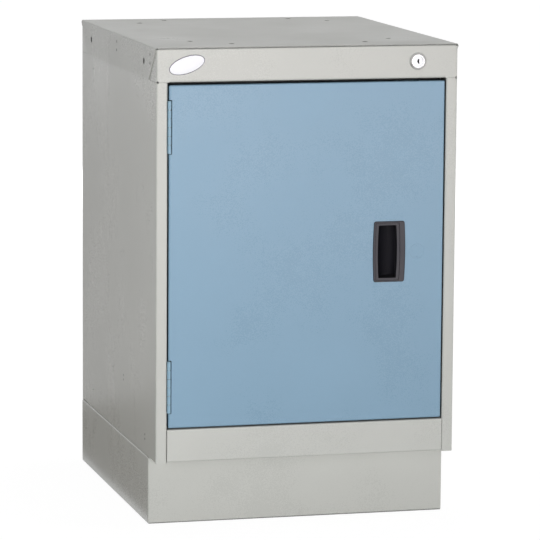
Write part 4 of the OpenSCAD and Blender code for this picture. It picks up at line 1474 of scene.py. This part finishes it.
@dataclass
class ButtHinge(Part):
    """A butt hinge: two leaves with rolled knuckles on one pin."""

    name: str
    knuckles: int = 6
    outer: float = 2.5
    inner: float = 1.5
    pin: float = 1.25
    thickness: float = 1.0
    room: float = 2.9
    split: float = 0.7
    rivets: tuple[float, ...] = (12.0, 38.1, 64.2)
    door_side: float = 1.7
    edge: float = 0.12
    frame_wrap: float = 302.0
    door_wrap: float = 306.0

    def __post_init__(self) -> None:
        """Reads the hinge's place from the frame."""
        low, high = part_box(f"{self.name}_frame_leaf")
        self.length = (high.z - low.z) / MM
        self.axis = joint_mm("door_hinge")[:2]
        self.foot = low.z / MM
        self.reach = high.y / MM - self.axis[1]

    def build(self) -> None:
        """Makes both leaves and the pin."""
        place = standing(self.axis[0], self.axis[1], self.foot)
        pitch = self.length / self.knuckles
        for side, first, body in (("frame", 0, Body.CASE), ("door", 1, Body.DOOR)):
            form = Form()
            strip, roll = self.outlines(side)
            blocks: list[tuple[Sequence[Flat], float, float]] = []
            for i in range(self.knuckles):
                high = self.length - i * pitch
                low = high - pitch
                if (i - first) % 2 == 0:
                    upper = high if i == 0 else high - self.split / 2
                    lower = low if i == self.knuckles - 1 else low + self.split / 2
                    blocks += [(strip, lower, upper), (roll, lower, upper)]
                    gaps = ((low, lower), (upper, high))
                else:
                    gaps = ((low, high),)
                blocks += [(strip, a, b) for a, b in gaps if b - a > TINY]
            form.prisms(blocks)
            node = f"{self.name}_{side}_leaf"
            leaf = self.bench.piece(f"{node}_rolled", form, place, body, Slot.BLUE_PAINT, [node], self.edge)
            # The leaves wear a lighter copy of the door's blue: painted highlight on the knuckles.
            leaf.data.materials[0] = self.bench.shop.material(Trim.HINGE_COAT)
        pin = Form()
        dome = [(0.0, 0.1), (0.7, 0.16), (1.05, 0.35), (self.pin, 0.7)]
        top = [(r, self.length - h) for r, h in reversed(dome)]
        pin.turned([*dome, *top], 32)
        node = f"{self.name}_pin"
        self.bench.piece(f"{node}_turned", pin, place, Body.CASE, Slot.ZINC_PLATE, [node])

    def outlines(self, side: str) -> tuple[list[Flat], list[Flat]]:
        """Outlines of a leaf's strip and of its rolled knuckle, which share one wall.

        Args:
            side: Frame or door.

        Returns:
            The strip's outline and the knuckle's.
        """
        if side == "frame":
            near, far = -self.outer, -self.outer + self.thickness
            outside = arc((0, 0), self.outer, 180, 180 + self.frame_wrap, 30)
            inside = arc((0, 0), self.inner, 180 + self.frame_wrap, 180, 26)
        else:
            near, far = self.door_side, self.door_side - self.thickness
            start = math.degrees(math.acos(near / self.outer))
            finish = math.degrees(math.acos(far / self.inner))
            outside = arc((0, 0), self.outer, start, start - self.door_wrap, 30)
            inside = arc((0, 0), self.inner, start - self.door_wrap, finish, 26)
        strip = [(near, self.room), (far, self.room), (far, self.reach), (near, self.reach)]
        roll = [(near, self.room), *outside, *inside, (far, self.room)]
        return strip, roll

    def rivet_places(self) -> list[float]:
        """Returns the heights of the leaf's rivets above the floor."""
        return [self.foot + h for h in self.rivets]


@dataclass
class Hinges(Part):
    """Both hinges and the rivets of their frame leaves."""

    rivet: float = 1.6
    head: float = 3.0
    head_height: float = 0.5
    tail: float = 2.4
    tail_height: float = 1.6

    def build(self) -> None:
        """Makes the hinges and the rivets."""
        pair = [ButtHinge(self.bench, "upper_hinge"), ButtHinge(self.bench, "lower_hinge")]
        for hinge in pair:
            hinge.build()
        low, high = box_mm("hinge_rivets")
        length = high.x - low.x
        rivets = Form()
        profile = [
            (0.0, 0.0),
            (self.tail * 0.8, 0.0),
            (self.tail, 0.5),
            (self.tail, self.tail_height),
            (self.rivet, self.tail_height),
            (self.rivet, length - self.head_height),
            (self.head, length - self.head_height),
            (self.head * 0.93, length - self.head_height * 0.55),
            (self.head * 0.7, length - self.head_height * 0.15),
            (0.0, length),
        ]
        single = Form()
        single.turned(profile, 32)
        middle = (low.y + high.y) / 2
        for hinge in pair:
            for height in hinge.rivet_places():
                rivets.take(single, (low.x, middle, height), (2, 0, 1))
        here, zinc = Matrix.Scale(MM, 4), Slot.ZINC_PLATE
        self.bench.piece("hinge_rivet_set", rivets, here, Body.CASE, zinc, ["hinge_rivets"])


@dataclass
class Door(Part):
    """Folded door and its stiffener."""

    edge: float = 0.2

    def build(self) -> None:
        """Dresses the door."""
        self.bench.dress("door_panel", Slot.BLUE_PAINT, self.edge)
        self.bench.dress("door_stiffener", Slot.BLUE_PAINT, self.edge)


@dataclass(frozen=True)
class RimLoop:
    """One loop of the pull, set in from the outline of its rim; the surface is that of the band before it."""

    left: float
    right: float
    end: float
    level: float
    corner: float = 2.4
    swelled: bool = True
    surface: int = 0


@dataclass
class FlushPull(Part):
    """Moulded pull: a grooved rim over the door and a finger cup that deepens to the right."""

    width: float = 47.0
    bulge: float = 2.5
    height: float = 90.5
    proud: float = 1.8
    left: float = 7.45
    right: float = 13.05
    end: float = 6.25
    depth: float = 20.0
    wall: float = 1.8
    cup_left: float = 6.2
    cup_right: float = 7.8

    def outline(self, loop: RimLoop) -> list[Point]:
        """Points of one loop.

        Args:
            loop: The loop.

        Returns:
            The points, from the lower right corner round.
        """
        wide = (self.width - loop.left - loop.right) / 2
        shift = (loop.left - loop.right) / 2
        x, z = wide - loop.corner, self.height / 2 - loop.end - loop.corner
        swell = self.bulge / 2 if loop.swelled else 0.0
        steps = 10
        heights = [-1 + 2 * i / steps for i in range(1, steps)]
        side = [(wide + swell * (1 - h * h), h * z) for h in heights]
        half = [*arc((x, -z), loop.corner, -90, 0, 6), *side, *arc((x, z), loop.corner, 0, 90, 6)]
        both = [*half, *((-px, -pz) for px, pz in half)]
        return [(px + shift, pz, loop.level) for px, pz in both]

    def back_loops(self) -> list[RimLoop]:
        """Lists the loops of the hidden side, from the middle of the cup's back to the rim's edge.

        Returns:
            The loops.
        """
        left, right, end = self.cup_left - self.wall, self.cup_right - self.wall, self.end - self.wall
        return [
            RimLoop(left + 2, right + 2, end + 2, -self.depth, 2.4, False),
            RimLoop(left + 0.6, right + 0.6, end + 0.6, -self.depth + 0.5, 1.6, False, 1),
            RimLoop(left, right, end, -self.depth + 2, 0.8, False, 1),
            RimLoop(left, right, end, 0.0, 0.8, False, 1),
            RimLoop(0.3, 0.3, 0.3, 0.0, 3.2, True, 1),
        ]

    def rim_loops(self) -> list[RimLoop]:
        """Lists the loops of the rim, from its edge to the opening.

        Returns:
            The loops.
        """
        out = self.proud
        left, right, end = self.left, self.right, self.end
        return [
            RimLoop(0.0, 0.0, 0.0, out * 0.1, 3.2, True, 1),
            RimLoop(0.0, 0.0, 0.0, out * 0.5, 3.2, True, 1),
            RimLoop(0.15, 0.35, 0.2, out * 0.8, 3.1, True, 1),
            RimLoop(0.5, 1.3, 0.6, out * 0.96, 2.9, True, 1),
            RimLoop(1.0, 1.9, 1.0, out, 2.7),
            RimLoop(2.5, 8.0, 2.2, out * 0.94, 2.2),
            RimLoop(2.7, 8.2, 2.35, out * 0.6, 2.1, True, 1),
            RimLoop(3.2, 8.9, 2.85, out * 0.6, 2.0, True, 1),
            RimLoop(3.4, 9.1, 3.0, out * 0.92, 2.0),
            RimLoop(left - 1.6, right - 1.7, end - 1.4, out * 0.97, 1.8),
            RimLoop(left - 0.5, right - 0.6, end - 0.45, out * 0.93, 1.6),
            RimLoop(left - 0.1, right - 0.1, end - 0.1, out * 0.7, 1.5),
            RimLoop(left, right, end, out * 0.45, 1.4, True, 2),
            RimLoop(left, right, end, -self.wall, 1.4, True, 2),
        ]

    def cup_loops(self) -> list[RimLoop]:
        """Lists the loops of the finger cup, from behind the opening to its deepest place.

        Returns:
            The loops.
        """
        left, right, end = self.cup_left, self.cup_right, self.end
        floor = -self.depth + self.wall
        return [
            RimLoop(left, right, end, -self.wall - 0.4, 1.4, False, 2),
            RimLoop(left + 1.2, right, end + 0.3, floor * 0.4, 1.6, False, 2),
            RimLoop(left + 5.0, right, end + 0.8, floor * 0.72, 2.0, False, 2),
            RimLoop(left + 12.0, right + 0.4, end + 1.6, floor * 0.92, 2.4, False, 2),
            RimLoop(left + 20.0, right + 2.2, end + 3.2, floor, 2.8, False, 2),
        ]

    def build(self) -> None:
        """Makes the pull."""
        low, high = box_mm("pull_handle")
        loops = [*self.back_loops(), *self.rim_loops(), *self.cup_loops()]
        form = Form()
        form.loft([self.outline(loop) for loop in loops], [loop.surface for loop in loops[1:]])
        place = facing_front((low.x + high.x) / 2, (low.z + high.z) / 2, low.y + self.proud)
        # Surface 1, the rim's sides and groove, and surface 2, the opening and cup, take darker copies of the
        # charcoal: painted shade.
        slot, trims = Slot.CHARCOAL_PLASTIC, [Trim.PULL_SIDES, Trim.PULL_CUP]
        self.bench.piece("pull_moulding", form, place, Body.DOOR, slot, ["pull_handle"], 0.0, trims)


@dataclass
class CamLock(Part):
    """Cam lock: bevelled body, plug with its key slot, nut, cam and screw.

    Sizes across are radii, but for the nut's width. Each side of the key slot is an arc: its middle, its
    radius and its first angle.
    """

    bezel: float = 12.75
    face: float = 9.75
    out: float = 2.5
    groove: float = 8.1
    groove_depth: float = 0.1
    barrel: float = 9.4
    flats: float = 7.9
    flat_reach: float = 14.0
    flat_half: float = 12.0
    length: float = 17.0
    plug: float = 7.0
    plug_drop: float = 0.3
    dish: float = 5.3
    dish_depth: float = 0.12
    slot_outer: Point = (2.32, 3.92, 100.6)
    slot_inner: Point = (19.93, 18.73, 191.7)
    slot_depth: float = 7.0
    bore: float = 7.05
    nut_width: float = 24.0
    nut_low: float = -5.2
    nut_high: float = -1.2
    tail: float = 3.5
    cam_level: float = -17.8
    cam_thickness: float = 2.0
    cam_edge: float = 0.25
    screw: float = 1.95
    screw_reach: float = 7.0

    def build(self) -> None:
        """Makes the lock."""
        x, y, z = joint_mm("lock_turn")
        place = facing_front(x, z, y)
        body = Form()
        ring = [
            (self.bore, -self.length, 0),
            (self.barrel - 0.6, -self.length, 0),
            (self.barrel, -self.length + 0.6, 0),
            (self.barrel, 0.0, 0),
            (self.bezel - 0.1, 0.0, 1),
            (self.bezel, 0.15, 1),
            (self.bezel, 0.7, 1),
            (self.bezel - 0.15, 0.9, 1),
            (self.face + 0.3, self.out - 0.25, 1),
            (self.face, self.out - 0.05, 1),
            (self.face - 0.3, self.out, 0),
            (self.groove + 0.25, self.out, 0),
            (self.groove + 0.1, self.out - self.groove_depth, 0),
            (self.groove - 0.1, self.out - self.groove_depth, 0),
            (self.groove - 0.25, self.out, 0),
            (self.bore + 0.25, self.out, 0),
            (self.bore, self.out - 0.25, 0),
        ]
        body.turned([(r, h) for r, h, _ in ring], 72, [mark for *_, mark in ring[1:]])
        cutters = []
        for side in (-1, 1):
            flat = Form()
            near, far, tall = side * self.flats, side * self.flat_reach, self.flat_half
            corners = [(near, -tall), (far, -tall), (far, tall), (near, tall)]
            flat.prism(corners, -self.length - 1, -0.02)
            cutters.append((flat, 0))
        chrome, bevel = Slot.CHROME_PLATE, [Trim.LOCK_BEVEL]
        self.bench.piece(
            "lock_body_turned", body, place, Body.CASE, chrome, ["lock_body"], 0.0, bevel, cutters
        )
        nut = Form()
        rings = hexagon_rings(self.nut_width, self.nut_low, self.nut_high, self.barrel, (True, False))
        nut.loft(rings, (), True)
        self.bench.piece("lock_nut_turned", nut, place, Body.CASE, Slot.ZINC_PLATE, ["lock_nut"])
        self.build_plug(place)
        self.bench.dress("lock_cam", Slot.ZINC_PLATE, self.cam_edge)
        self.build_screw(place)

    def build_plug(self, place: Matrix) -> None:
        """Makes the plug with its curved key slot.

        Args:
            place: The lock's frame.
        """
        plug = Form()
        top = self.out - self.plug_drop
        profile = [
            (0.0, self.cam_level),
            (self.plug, self.cam_level),
            (self.plug, top - 0.3),
            (self.plug - 0.3, top),
            (self.dish + 0.3, top),
            (self.dish, top - self.dish_depth),
            (0.0, top - self.dish_depth),
        ]
        plug.turned(profile, 64)
        tail = self.tail
        square = [(-tail, -tail), (tail, -tail), (tail, tail), (-tail, tail)]
        plug.prism(square, self.cam_level - self.cam_thickness, self.cam_level + 0.5)
        slot = Form()
        outer, inner = (
            arc((middle, 0.0), radius, start, 360 - start, steps)
            for (middle, radius, start), steps in ((self.slot_outer, 18), (self.slot_inner, 10))
        )
        slot.prism([*outer, *inner], top - self.slot_depth, top + 1)
        # The key slot's walls take a very dark brass: painted shade inside the slot.
        chrome, keyway = Slot.CHROME_PLATE, [Trim.KEYWAY]
        self.bench.piece(
            "lock_plug_turned", plug, place, Body.LOCK, chrome, ["lock_plug"], 0.0, keyway, [(slot, 1)]
        )

    def build_screw(self, place: Matrix) -> None:
        """Makes the screw that holds the cam.

        Args:
            place: The lock's frame.
        """
        low, high = box_mm("lock_screw")
        head = (high.x - low.x) / 2
        back = joint_mm("lock_turn")[1] - high.y
        seat = self.cam_level - self.cam_thickness
        screw = Form()
        profile = [
            (0.0, seat + self.screw_reach),
            (self.screw, seat + self.screw_reach),
            (self.screw, seat),
            (head, seat),
            (head, back + 1.2),
            (head * 0.86, back + 0.45),
            (head * 0.55, back),
            (0.0, back),
        ]
        screw.turned(profile, 40)
        self.bench.piece("lock_screw_turned", screw, place, Body.LOCK, Slot.ZINC_PLATE, ["lock_screw"])


@dataclass
class Badge(Part):
    """Plain oval badge with a narrow rim and a domed face."""

    length: float = 55.0
    height: float = 25.0
    thickness: float = 1.0
    tilt: float = 18.0
    steps: int = 96

    def build(self) -> None:
        """Makes the badge."""
        low, high = box_mm("badge_plate")
        t = self.thickness
        rows: list[tuple[float, float, int]] = [
            (0.0, 0.0, 0),
            (0.0, t * 0.55, 1),
            (0.18, t * 0.8, 1),
            (0.45, t * 0.88, 1),
            (0.75, t * 0.8, 1),
            (0.95, t * 0.62, 1),
            (1.15, t * 0.6, 0),
            (2.2, t * 0.76, 0),
            (4.5, t * 0.9, 0),
            (8.0, t * 0.98, 0),
        ]
        a, b = self.length / 2, self.height / 2
        loops: list[list[Point]] = []
        for inset, level, _ in rows:
            loop = []
            for k in range(self.steps):
                angle = 2 * math.pi * k / self.steps
                x, y = (a - inset) * math.cos(angle), (b - inset) * math.sin(angle)
                loop.append((*self.tilted(x, y), level))
            loops.append(loop)
        loops.append([(0.0, 0.0, t)])
        form = Form()
        form.loft(loops, [mark for *_, mark in rows[1:]] + [0])
        place = facing_front((low.x + high.x) / 2, (low.z + high.z) / 2, high.y)
        rim = [Trim.BADGE_RIM]
        self.bench.piece("badge_domed", form, place, Body.CASE, Slot.WHITE_ENAMEL, ["badge_plate"], 0.0, rim)

    def tilted(self, x: float, y: float) -> Flat:
        """Turns a point by the badge's tilt.

        Args:
            x: Its place along the oval.
            y: Its place across the oval.

        Returns:
            The turned point.
        """
        turn = math.radians(self.tilt)
        return x * math.cos(turn) - y * math.sin(turn), x * math.sin(turn) + y * math.cos(turn)


@dataclass
class Catch(Part):
    """Magnetic catch on its bracket, with pan-head screws."""

    edge: float = 0.3
    housing_edge: float = 0.5
    pole_edge: float = 0.2
    head: float = 3.25
    head_height: float = 1.2
    shank: float = 1.65
    cross_width: float = 3.4
    cross_depth: float = 0.9

    def build(self) -> None:
        """Dresses the catch and makes its screws."""
        self.bench.dress("catch_bracket", Slot.ZINC_PLATE, self.edge)
        self.bench.dress("catch_housing", Slot.LIGHT_PLASTIC, self.housing_edge)
        self.bench.dress("catch_magnet", Slot.FERRITE, self.edge)
        self.bench.dress("catch_poles", Slot.ZINC_PLATE, self.pole_edge)
        low, high = box_mm("catch_screws")
        middle = (low.x + high.x) / 2
        deep = high.y - low.y
        profile = [
            (0.0, -deep),
            (self.shank * 0.6, -deep),
            (self.shank, -deep + 0.8),
            (self.shank, -self.head_height),
            (self.head, -self.head_height),
            (self.head, -0.7),
            (self.head * 0.85, -0.2),
            (self.head * 0.5, 0.0),
            (0.0, 0.0),
        ]
        single = Form()
        single.turned(profile, 40)
        screws, cutters = Form(), []
        for height in (low.z + self.head, high.z - self.head):
            screws.take(single, (middle, height, 0.0))
            for bar in cross_recess(self.cross_width, self.cross_depth, 0.0):
                cutter = Form()
                cutter.take(bar, (middle, height, 0.0))
                cutters.append((cutter, 0))
        place, zinc = facing_front(0.0, 0.0, low.y), Slot.ZINC_PLATE
        self.bench.piece(
            "catch_screw_set", screws, place, Body.CASE, zinc, ["catch_screws"], 0.0, (), cutters
        )


@dataclass
class Bumpers(Part):
    """Four rubber bumpers that the door closes on."""

    radius: float = 4.0

    def build(self) -> None:
        """Makes the bumpers."""
        low, high = box_mm("door_bumpers")
        tall = high.y - low.y
        r = self.radius
        profile = [
            (0.0, 0.0),
            (r, 0.0),
            (r, tall * 0.25),
            (r * 0.94, tall * 0.5),
            (r * 0.82, tall * 0.75),
            (r * 0.6, tall * 0.93),
            (0.0, tall),
        ]
        form, single = Form(), Form()
        single.turned(profile, 40)
        for x in (low.x + r, high.x - r):
            for z in (low.z + r, high.z - r):
                form.take(single, (x, z, 0.0))
        place = facing_front(0.0, 0.0, high.y)
        self.bench.piece("door_bumper_set", form, place, Body.CASE, Slot.BLACK_RUBBER, ["door_bumpers"])


# Studio


@dataclass
class Lamp:
    """One soft lamp."""

    name: str
    place: Point
    size: Flat
    power: float
    aim: Point = (0.0, 0.0, 0.36)

    def light(self) -> None:
        """Hangs the lamp."""
        data = bpy.data.lights.new(self.name, "AREA")
        data.shape = "RECTANGLE"
        data.size, data.size_y = self.size
        data.energy = self.power
        lamp = put_up(self.name, data)
        lamp.location = self.place
        lamp.rotation_mode = "QUATERNION"
        lamp.rotation_quaternion = (Vector(self.aim) - Vector(self.place)).to_track_quat("-Z", "Y")
        lamp.visible_camera = False
        lamp.visible_glossy = False


@dataclass
class Card:
    """A glowing card that only glossy surfaces see."""

    name: str
    corners: tuple[Point, ...]
    strength: float
    tint: Point


def floor_card(name: str, front: Flat, back: Flat, near: float, glow: float, tint: Point) -> Card:
    """Describes a card that lies on the floor, left of the cabinet.

    Args:
        name: Its name.
        front: Depth of its front edge at the far side and at the side by the cabinet.
        back: Depth of its rear edge at the same sides.
        near: Sideways place of the side by the cabinet, in metres.
        glow: How strongly it glows.
        tint: Its colour.

    Returns:
        The card.
    """
    far = -3.2
    corners = ((far, front[0], 0.0), (near, front[1], 0.0), (near, back[1], 0.0), (far, back[0], 0.0))
    return Card(name, corners, glow, tint)


def window_card(name: str, across: Flat, up: Flat, glow: float) -> Card:
    """Describes an upright card in front of the cabinet.

    Args:
        name: Its name.
        across: Sideways places of its sides in metres.
        up: Its lower and upper edge in metres.
        glow: How strongly it glows.

    Returns:
        The card.
    """
    depth, tint = -3.2, (1.0, 0.91, 0.91)
    places = ((across[0], up[0]), (across[1], up[0]), (across[1], up[1]), (across[0], up[1]))
    return Card(f"window_{name}", tuple((x, depth, z) for x, z in places), glow, tint)


@dataclass
class Studio:
    """White studio: floor, reflected cards, surrounding light and lamps."""

    floor_reach: float = 14.0
    floor_level: float = -0.0004
    floor_tone: float = 0.68
    floor_shadow: float = 0.12
    # Floor glow near and far from the cabinet; the dimmer glow near it is a painted shadow.
    shadowed_near_glow: Flat = (0.35, 0.94)
    far_glow: Flat = (1.4, 1.0)
    ambient: float = 0.13
    white: tuple[float, ...] = (1.0, 1.0, 1.0, 1.0)
    lamps: tuple[Lamp, ...] = (
        Lamp("key", (-0.3, -4.0, 0.5), (2.4, 0.9), 66.5),
        Lamp("left", (-1.15, -1.5, 0.4), (0.6, 0.6), 6.4),
        Lamp("top", (-0.2, 0.0, 3.2), (2.4, 2.4), 23.0),
        Lamp("right", (3.6, 0.2, 0.5), (2.4, 0.4), 72.0),
        Lamp("rear", (0.0, 4.2, 0.5), (2.4, 0.4), 100.0),
    )
    cards: tuple[Card, ...] = (
        floor_card("side_floor", (-1.6, -1.6), (2.1, 0.7), -0.24, 0.3, (1.0, 0.94, 0.84)),
        floor_card("far_floor", (2.1, 0.7), (6.0, 6.0), -0.24, 0.72, (1.0, 0.99, 0.97)),
        window_card("left", (-0.3, 0.84), (0.0, 1.3), 4.2),
        window_card("right", (1.28, 1.9), (0.0, 1.3), 5.4),
        window_card("upper", (0.84, 1.28), (0.6, 1.3), 5.4),
        window_card("lower", (0.84, 1.28), (0.0, 0.14), 5.4),
    )

    def build(self) -> None:
        """Sets up the studio."""
        self.surround()
        self.lay_floor()
        for card in self.cards:
            self.place_card(card)
        for lamp in self.lamps:
            lamp.light()
        bpy.context.scene.view_settings.view_transform = "Standard"

    @staticmethod
    def seen_directly(sheet: NodeSheet) -> Socket:
        """Tells the rays that see a surface from those that carry its light.

        Args:
            sheet: The node sheet.

        Returns:
            1 for rays from the camera and for what mirrors and glass show.
        """
        path = sheet.put("ShaderNodeLightPath").outputs
        either = sheet.reckon("MAXIMUM", path["Is Camera Ray"], path["Is Glossy Ray"])
        return sheet.reckon("MAXIMUM", either, path["Is Transmission Ray"])

    def surround(self) -> None:
        """Makes the surrounding light: white where it is seen, softer where it lights."""
        world = bpy.data.worlds.new("white_studio")
        world.use_nodes = True
        world.node_tree.nodes.clear()
        sheet = NodeSheet(world.node_tree)
        seen = self.seen_directly(sheet)
        strength = sheet.ramp(seen, (0.0, self.ambient), (1.0, 1.0))
        back = sheet.put("ShaderNodeBackground", {"Color": self.white, "Strength": strength})
        sheet.put("ShaderNodeOutputWorld", {"Surface": back.outputs[0]})
        bpy.context.scene.world = world

    @staticmethod
    def plane(name: str, corners: Sequence[Point]) -> bpy.types.Object:
        """Puts up a flat sheet that isn't part of the object.

        Args:
            name: Its name.
            corners: Its corners in metres.

        Returns:
            The sheet.
        """
        mesh = bpy.data.meshes.new(name)
        mesh.from_pydata(list(corners), [], [tuple(range(len(corners)))])
        sheet = put_up(name, mesh)
        sheet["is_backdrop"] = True
        return sheet

    def lay_floor(self) -> None:
        """Lays the pale floor, which keeps a faint cast shadow and a painted shadow where its glow dims near
        the cabinet.
        """
        half, level = self.floor_reach, self.floor_level
        corners = [(-half, -half, level), (half, -half, level), (half, half, level), (-half, half, level)]
        floor = self.plane("studio_floor", corners)
        material = open_material("studio_floor")
        sheet = NodeSheet(material.node_tree)
        away = sheet.length(sheet.put("ShaderNodeNewGeometry").outputs["Position"])
        # The glow is 0.94 near the cabinet and reaches 1 by 1.4 m: a painted shadow round the cabinet.
        glow_with_painted_shadow = sheet.ramp(away, self.shadowed_near_glow, self.far_glow)
        glow = sheet.put("ShaderNodeEmission", {"Color": self.white, "Strength": glow_with_painted_shadow})
        faint, plain = (
            sheet.put("ShaderNodeBsdfDiffuse", {"Color": (tone, tone, tone, 1.0)})
            for tone in (self.floor_shadow, self.floor_tone)
        )
        shown = sheet.put("ShaderNodeAddShader", {0: glow.outputs[0], 1: faint.outputs[0]})
        choice = {0: self.seen_directly(sheet), 1: plain.outputs[0], 2: shown.outputs[0]}
        mixed = sheet.put("ShaderNodeMixShader", choice)
        sheet.put("ShaderNodeOutputMaterial", {"Surface": mixed.outputs[0]})
        floor.data.materials.append(material)

    def place_card(self, card: Card) -> None:
        """Puts up one card.

        Args:
            card: The card.
        """
        made = self.plane(card.name, card.corners)
        material = open_material(card.name)
        sheet = NodeSheet(material.node_tree)
        glow = sheet.put("ShaderNodeEmission", {"Color": (*card.tint, 1.0), "Strength": card.strength})
        sheet.put("ShaderNodeOutputMaterial", {"Surface": glow.outputs[0]})
        made.data.materials.append(material)
        made.visible_camera = False
        made.visible_diffuse = False
        made.visible_shadow = False


@dataclass
class PhotoCamera:
    """Camera at the photograph's place, found by fitting the cabinet's edges, in millimetres and degrees."""

    place: Point = (-1350.8, -5226.6, 1147.3)
    yaw: float = 14.623
    pitch: float = 8.477
    roll: float = -0.397
    focal: float = 3540.355
    picture: float = 540.0
    sensor: float = 36.0
    clip: Flat = (0.1, 60.0)

    def build(self) -> None:
        """Puts the camera in place."""
        data = bpy.data.cameras.new("photo_camera")
        data.sensor_width = self.sensor
        data.lens = self.focal * self.sensor / self.picture
        data.clip_start, data.clip_end = self.clip
        camera = put_up("photo_camera", data)
        yaw, pitch, roll = (math.radians(v) for v in (self.yaw, self.pitch, self.roll))
        ahead = Vector((math.sin(yaw) * math.cos(pitch), math.cos(yaw) * math.cos(pitch), -math.sin(pitch)))
        right = Vector((math.cos(yaw), -math.sin(yaw), 0.0))
        down = ahead.cross(right)
        across = right * math.cos(roll) + down * math.sin(roll)
        lower = down * math.cos(roll) - right * math.sin(roll)
        turn = Matrix((across, -lower, -ahead)).transposed()
        camera.matrix_world = Matrix.Translation(Vector(self.place) * MM) @ turn.to_4x4()
        bpy.context.scene.camera = camera


def main() -> None:
    """Builds the cabinet's looks, the studio and the camera, and works out the sizes of the CAD and the
    dressed model.
    """
    logging.basicConfig(level=logging.INFO, format="%(name)s: %(message)s")
    PhotoCamera().build()
    Studio().build()
    bench = Bench(PaintShop())
    for kind in (Case, Shelving, Plinth, Hinges, Door, FlushPull, CamLock, Badge, Catch, Bumpers):
        LOG.info("building %s", kind.__name__)
        kind(bench).build()
    boxes = {"cad": CAD_BOX, "visual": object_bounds()}
    {name: [list(corner) for corner in box] for name, box in boxes.items()}


if __name__ == "__main__":
    main()
